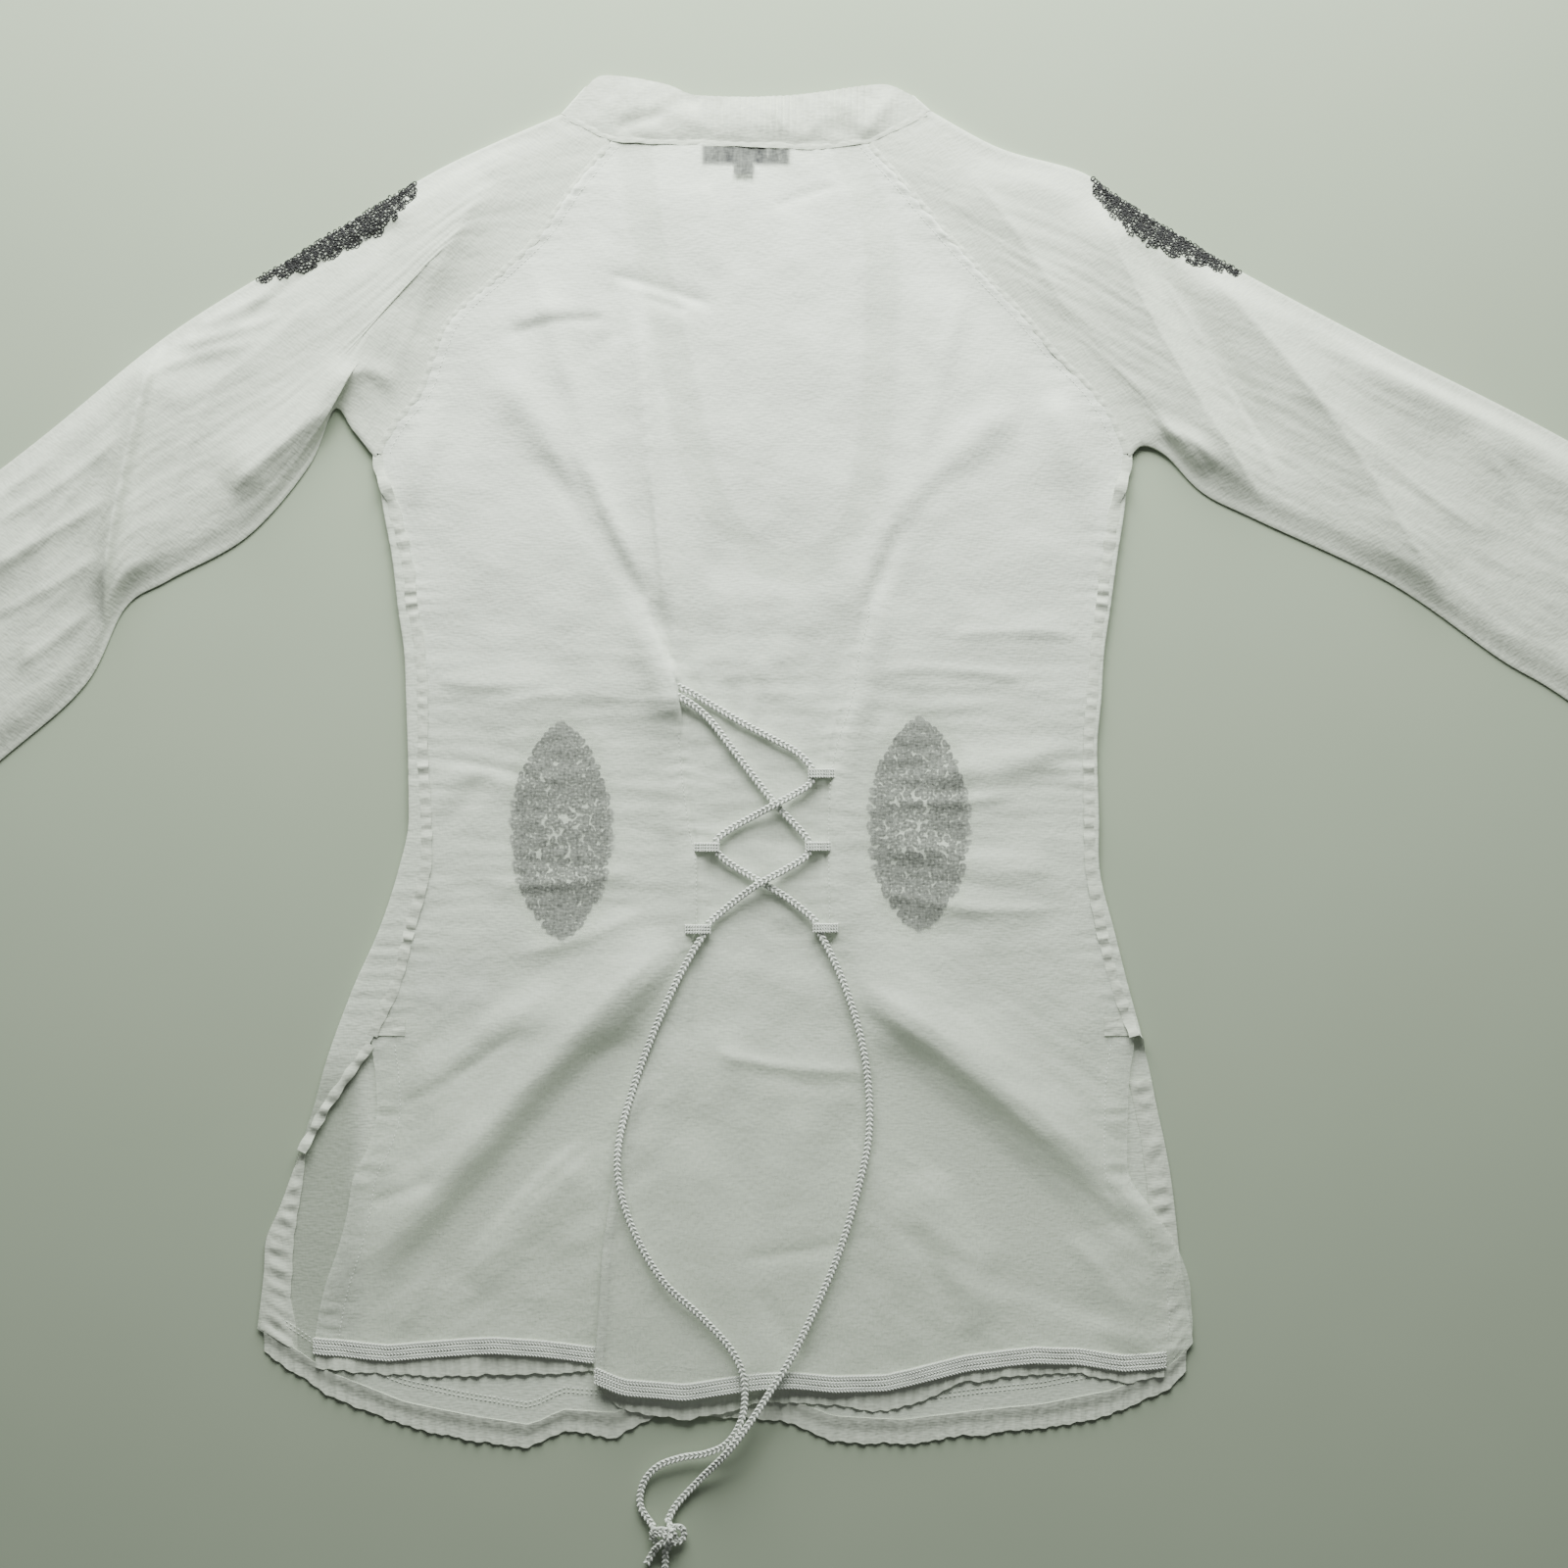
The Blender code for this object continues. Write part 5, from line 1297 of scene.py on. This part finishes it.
def listSeams():
    seams = []
    for side, name, column in ((1, "backLeft", 0), (-1, "backRight", -1)):
        sleeve = sleeveTops["sleeve_left" if side > 0 else "sleeve_right"][0]
        backEdge, frontEdge = backPoints[:, column], frontPoints[:, column]
        y = np.linspace(366, 189, 90)
        raglan = (bodyAt(name, y), y, seamHeight(y, sleeve, backEdge))
        seams.append(Seam("raglan_" + name, raglan, 1.7, 6.4, 0.2))
        y = np.linspace(188, slitTop + 4, 150)
        beside = (bodyAt(name, y) + 0.8 * side * bumps(y * 0, y, 16, 5.0), y,
                  seamHeight(y, backEdge, frontEdge))
        seams.append(Seam("side_" + name, beside, 3.0, 9.1, 0.2))
    x = np.linspace(-108, 98, 110)
    lowRow = collarPoints[0]
    lowRow = lowRow[np.argsort(lowRow[:, 2])[len(lowRow) // 3:]]
    lowRow = lowRow[np.argsort(lowRow[:, 0])]
    height = np.interp(x, lowRow[:, 0], lowRow[:, 2]).clip(upperLevel) + 0.15
    seams.append(Seam("neck", (x, edgeAt(neckSeam, x), height), 1.6, 9.0, 0.1))
    y = np.linspace(slitTop - 1, -210, 60)
    x = np.interp(-y, (149, 165, 185, 210), (-219.5, -231.5, -245.5, -259))
    seams.append(Seam("slit_fold_left", (x, y, seamHeight(y, frontPoints[:, 0])), 2.6, 11.5, 0.45))
    return seams


def makeSeam(seam):
    line = evenly(np.column_stack(seam.line), pitch=seamCloth["step"])
    ahead = np.gradient(line[:, :2], axis=0)
    ahead /= np.linalg.norm(ahead, axis=1)[:, None]
    beside = np.column_stack((-ahead[:, 1], ahead[:, 0]))
    place = np.arange(len(line)) * seamCloth["step"]
    wander = 1.8 * np.sin(place / 21) + 1.2 * np.sin(place / 7.7)
    rise = seam.puff * (1.3 + np.sin(place * math.tau / seam.pitch + wander)
                        + 1.4 * bumps(place, place * 0, 9, 2.7))
    width = seam.width * (1 + 0.3 * bumps(place, place * 0, 8, 6.2))
    fade = smooth(place / 6) * smooth((place[-1] - place) / 6)
    rows = []
    for across in (-1, -0.6, 0, 0.6, 1):
        up = seamCloth["lift"] + rise * fade * (1 - across * across)
        rows.append(np.column_stack((line[:, :2] + beside * (across * width)[:, None],
                                     line[:, 2] + up)))
    return makeSheet("seam_" + seam.name, rows, doubledVoile, seamCloth["thickness"])


seamPieces = [makeSeam(seam) for seam in listSeams()]
print("seams made")


# Labels and reinforced slit tops

Tab = namedtuple("Tab", "name left right bottom top lift")
tabs = [Tab("neck_label", -30, 20, 354, 365, -0.13),
        Tab("hanger_loop", -12, 0, 349, 364.5, -0.3),
        Tab("care_label", -194, -152, -124, -99, -0.5),
        Tab("slit_tab_left", -216, -200, -144, -134, 0.5),
        Tab("slit_tab_right", 200, 214, -144, -134, 0.5)]


def makeTabs():
    finishes = {"neck_label": darkTape, "hanger_loop": darkTape, "care_label": paleTape}
    pieces = {}
    for tab in tabs:
        x, y = np.meshgrid(np.linspace(tab.left, tab.right, 14),
                           np.linspace(tab.top, tab.bottom, 12))
        sewn = tab.name in finishes
        z = backHeight(x, y) + tab.lift + (0 if sewn else 0.3 * bumps(x, y * 2, 5, 1.1))
        pieces[tab.name] = makeSheet(tab.name + "_cloth", np.stack((x, y, z), axis=-1),
                                     finishes.get(tab.name, doubledVoile), 0.1 if sewn else 0.3)
    return pieces


tabCloths = makeTabs()


# Braid loops that hold the laces

Loop = namedtuple("Loop", "name hold root y")
loops = [Loop("loop_right_top", 33.5, 43.5, 5.5), Loop("loop_right_middle", 31.5, 41.5, -36.5),
         Loop("loop_right_bottom", 36, 45, -82), Loop("loop_left_middle", -22.5, -32, -35.5),
         Loop("loop_left_bottom", -28, -37, -83.5)]
loopSize = {"cord": 1.7, "flat": 0.85, "bore": 1.9, "slack": 0.6, "pitch": 1.5,
            "apart": (-1.75, 0, 1.75), "strap": (-49.0, -47.5, -46.0)}


def makeLoop(name, routes):
    # A flat loop of three cords, side by side.
    lines = [evenly(curveThrough(route), pitch=0.8) * mm for route in routes]
    return makeCord(name + "_braid", lines, mercerised, loopSize["cord"] * mm,
                    loopSize["cord"] * loopSize["flat"] * mm, loopSize["pitch"] * mm)


def makeLoops():
    strands = np.vstack(list(laceLines.values())) / mm
    pieces = {}
    for loop in loops:
        held = strands[np.argmin(np.hypot(strands[:, 0] - loop.hold, strands[:, 1] - loop.y))]
        outward = 1 if loop.root > loop.hold else -1
        ground = float(backHeight(loop.root, loop.y)) + 0.9
        middle = (loop.root + held[0] + outward) / 2
        section = [(loop.root + outward * 2, ground - 0.6), (loop.root, ground),
                   (middle, min(ground, held[2] - loopSize["bore"]))]
        for angle in np.linspace(0, math.pi, 6):
            section.append((held[0] - outward * (loopSize["bore"] + loopSize["slack"])
                            * math.sin(angle), held[2] - loopSize["bore"] * math.cos(angle)))
        section += [(middle, held[2] + loopSize["bore"]),
                    (loop.root - outward * 2, max(ground + 1.2, held[2])),
                    (loop.root, ground + 1.1), (loop.root + outward * 2, ground)]
        pieces[loop.name] = makeLoop(loop.name, [[(x, held[1] + aside, z) for x, z in section]
                                                 for aside in loopSize["apart"]])
    top = max(line[0][2] for line in laceLines.values()) / mm + 1.9
    ground = float(backHeight(-45, 44)) + 0.9
    section = [(62.6, ground), (61.8, ground + 0.4), (60, top - 1), (56, top), (52, top),
               (48.8, top - 1), (47.2, ground + 0.4), (46.4, ground)]
    pieces["loop_left_top"] = makeLoop("loop_left_top", [[(x, y, z) for y, z in section]
                                                         for x in loopSize["strap"]])
    return pieces


loopPieces = makeLoops()
print("loops made")


# Embroidery: charcoal loops of thread, in a plain layout of its own

embroidery = {"loop": 2.6, "thread": 0.8, "motifLoop": 3.4, "motifThread": 1.7,
              "motifPress": 0.06, "motifSink": 0.6, "motifShake": 0.7, "seed": 11,
              "ovals": (1.0, 0.93, 0.86, 0.79, 0.72, 0.64, 0.56, 0.48, 0.4, 0.31, 0.21, 0.1)}
loopTree = makeLoopTree()


def makeThreadLoops(name, places, heights, loopMm, threadMm, press):
    mesh = plainMesh(name + "Places", np.column_stack((places, heights)) * mm)
    facing = mesh.attributes.new("facing", "FLOAT_VECTOR", "POINT")
    facing.data.foreach_set("vector", [0.0, 0.0, 1.0] * len(places))
    return growTree(name, placed(name + "Places", mesh), loopTree,
                    {"Loop": loopMm * mm, "Thread": threadMm * mm, "Press": press,
                     "Seed": embroidery["seed"], "Material": darkThread})


def lensPlaces(middle, halfWidth, halfHeight):
    # Loops on pointed ovals inside each other, closer together towards the edge.
    places = []
    for share in embroidery["ovals"]:
        wide, tall = halfWidth * share, halfHeight * share
        count = max(int(2.2 * (wide + tall) / 2.5), 5)
        for angle in np.linspace(0, math.tau, count, endpoint=False):
            across = math.sin(angle)
            places.append((middle[0] + wide * math.copysign(abs(across) ** 1.4, across),
                           middle[1] + tall * math.cos(angle)))
    chance = np.random.default_rng(embroidery["seed"])
    return np.array(places) + chance.normal(0, embroidery["motifShake"], (len(places), 2))


# Shoulder patches: an edge along the sleeve's top, from and to a share of its length, and depth
shoulderPatches = {"sleeve_left": (0.155, 0.33, 15), "sleeve_right": (0.17, 0.335, 15)}


def shoulderPlaces(name):
    # Rows of loops that follow the sleeve's top edge and thin out in scallops away from it.
    start, end, depth = shoulderPatches[name]
    top = sleeveTops[name]
    rings = np.linspace(start, end, 64) * (len(top) - 1)
    chance = np.random.default_rng(embroidery["seed"])
    places, heights = [], []
    for index, ring in enumerate(rings):
        before = int(ring)
        row = top[before] + (top[before + 1] - top[before]) * (ring - before)
        along = np.concatenate(([0], np.cumsum(np.linalg.norm(np.diff(row[:, :2], axis=0),
                                                             axis=1))))
        share = index / (len(rings) - 1)
        reach = depth * (0.15 + 0.85 * math.sin(math.pi * share ** 0.75) ** 0.8)
        reach *= 0.8 + 0.2 * abs(math.sin(share * math.pi * 7.5))
        for step in np.arange(0.2 + 0.9 * (index % 2), reach, 1.7):
            aside, rise, skipped = chance.uniform(-1, 1, 3)
            if skipped > 1.5 - 1.1 * step / reach:
                continue
            step = max(step + 0.8 * aside, 0.1)
            places.append([np.interp(step, along, row[:, axis]) for axis in (0, 1)])
            heights.append(np.interp(step, along, row[:, 2]) + 0.5 + 0.3 * rise)
    return np.array(places), np.array(heights)


def makeEmbroidery():
    pieces = []
    for name, middle, wide, tall in motifs:
        places = lensPlaces(middle, wide, tall)
        touching = backHeight(places[:, 0], places[:, 1]) - embroidery["motifSink"]
        pieces.append(makeThreadLoops(name, places, touching, embroidery["motifLoop"],
                                      embroidery["motifThread"], embroidery["motifPress"]))
    for name in shoulderPatches:
        places, heights = shoulderPlaces(name)
        pieces.append(makeThreadLoops("embroidery_" + name, places, heights,
                                      embroidery["loop"], embroidery["thread"], 1.0))
    return pieces


embroideryPieces = makeEmbroidery()
print("embroidery made", [len(item.data.polygons) for item in embroideryPieces])


# Sewing

sewing = {"pitch": 2.6, "length": 2.0, "thread": 0.38, "raglanInset": 6.6, "slitInset": 13.2,
          "dartOutset": 1.4, "lift": 0.3, "dartLift": 0.25, "hemRows": (12, 14.5), "hemLift": 0.35}
stitchTree = makeStitchTree()


def makeStitches(name, lines):
    return growTree(name, pathObject(name + "Path", lines), stitchTree,
                    {"Pitch": sewing["pitch"] * mm, "Length": sewing["length"] * mm,
                     "Thread": sewing["thread"] * mm, "Material": whiteThread})


def besideLine(name, y, aside, lift):
    return surfaceLine(np.column_stack((bodyAt(name, y) + aside, y)), lift)


def makeSewing():
    raglan = np.linspace(364, 190, 90)
    slit = np.linspace(slitTop - 2, -316, 80)
    dart = np.linspace(104, -96, 100)
    back = []
    for name, side in (("backLeft", 1), ("backRight", -1)):
        back.append(besideLine(name, raglan, side * sewing["raglanInset"], sewing["lift"]))
        back.append(besideLine(name, slit, side * sewing["slitInset"], sewing["lift"]))
    for name, side, stitched in (("dartLeft", -1, dart[dart < 30]), ("dartRight", 1, dart)):
        back.append(besideLine(name, stitched, side * sewing["dartOutset"], sewing["dartLift"]))
    hem = frontPoints[-1][turned + 1:-turned - 1]
    front = [evenly(hem + np.array([0, up, sewing["hemLift"]]), pitch=2.0) * mm
             for up in sewing["hemRows"]]
    return [makeStitches("back_stitches", back), makeStitches("front_hem_stitches", front)]


sewingPieces = makeSewing()
print("sewing made")


# What each piece stands for, and what it is

everyPiece = {"back_panel": [backCloth], "front_panel": [frontCloth],
              "sleeve_left": [sleeveCloths[0]], "sleeve_right": [sleeveCloths[1]],
              "collar": [collarCloth], "neck_facing": [neckFacingCloth]}
for group in (ruffleCloths, facingCloths, tabCloths, loopPieces, lacePieces):
    everyPiece.update({name: [item] for name, item in group.items()})
everyPiece.update({name: list(items) for name, items in hemBraids.items()})
everyPiece["back_panel"] += seamPieces
for node, items in everyPiece.items():
    for item in items:
        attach(item, "root")
    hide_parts(node)
for item in embroideryPieces + sewingPieces:
    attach(item, "root")
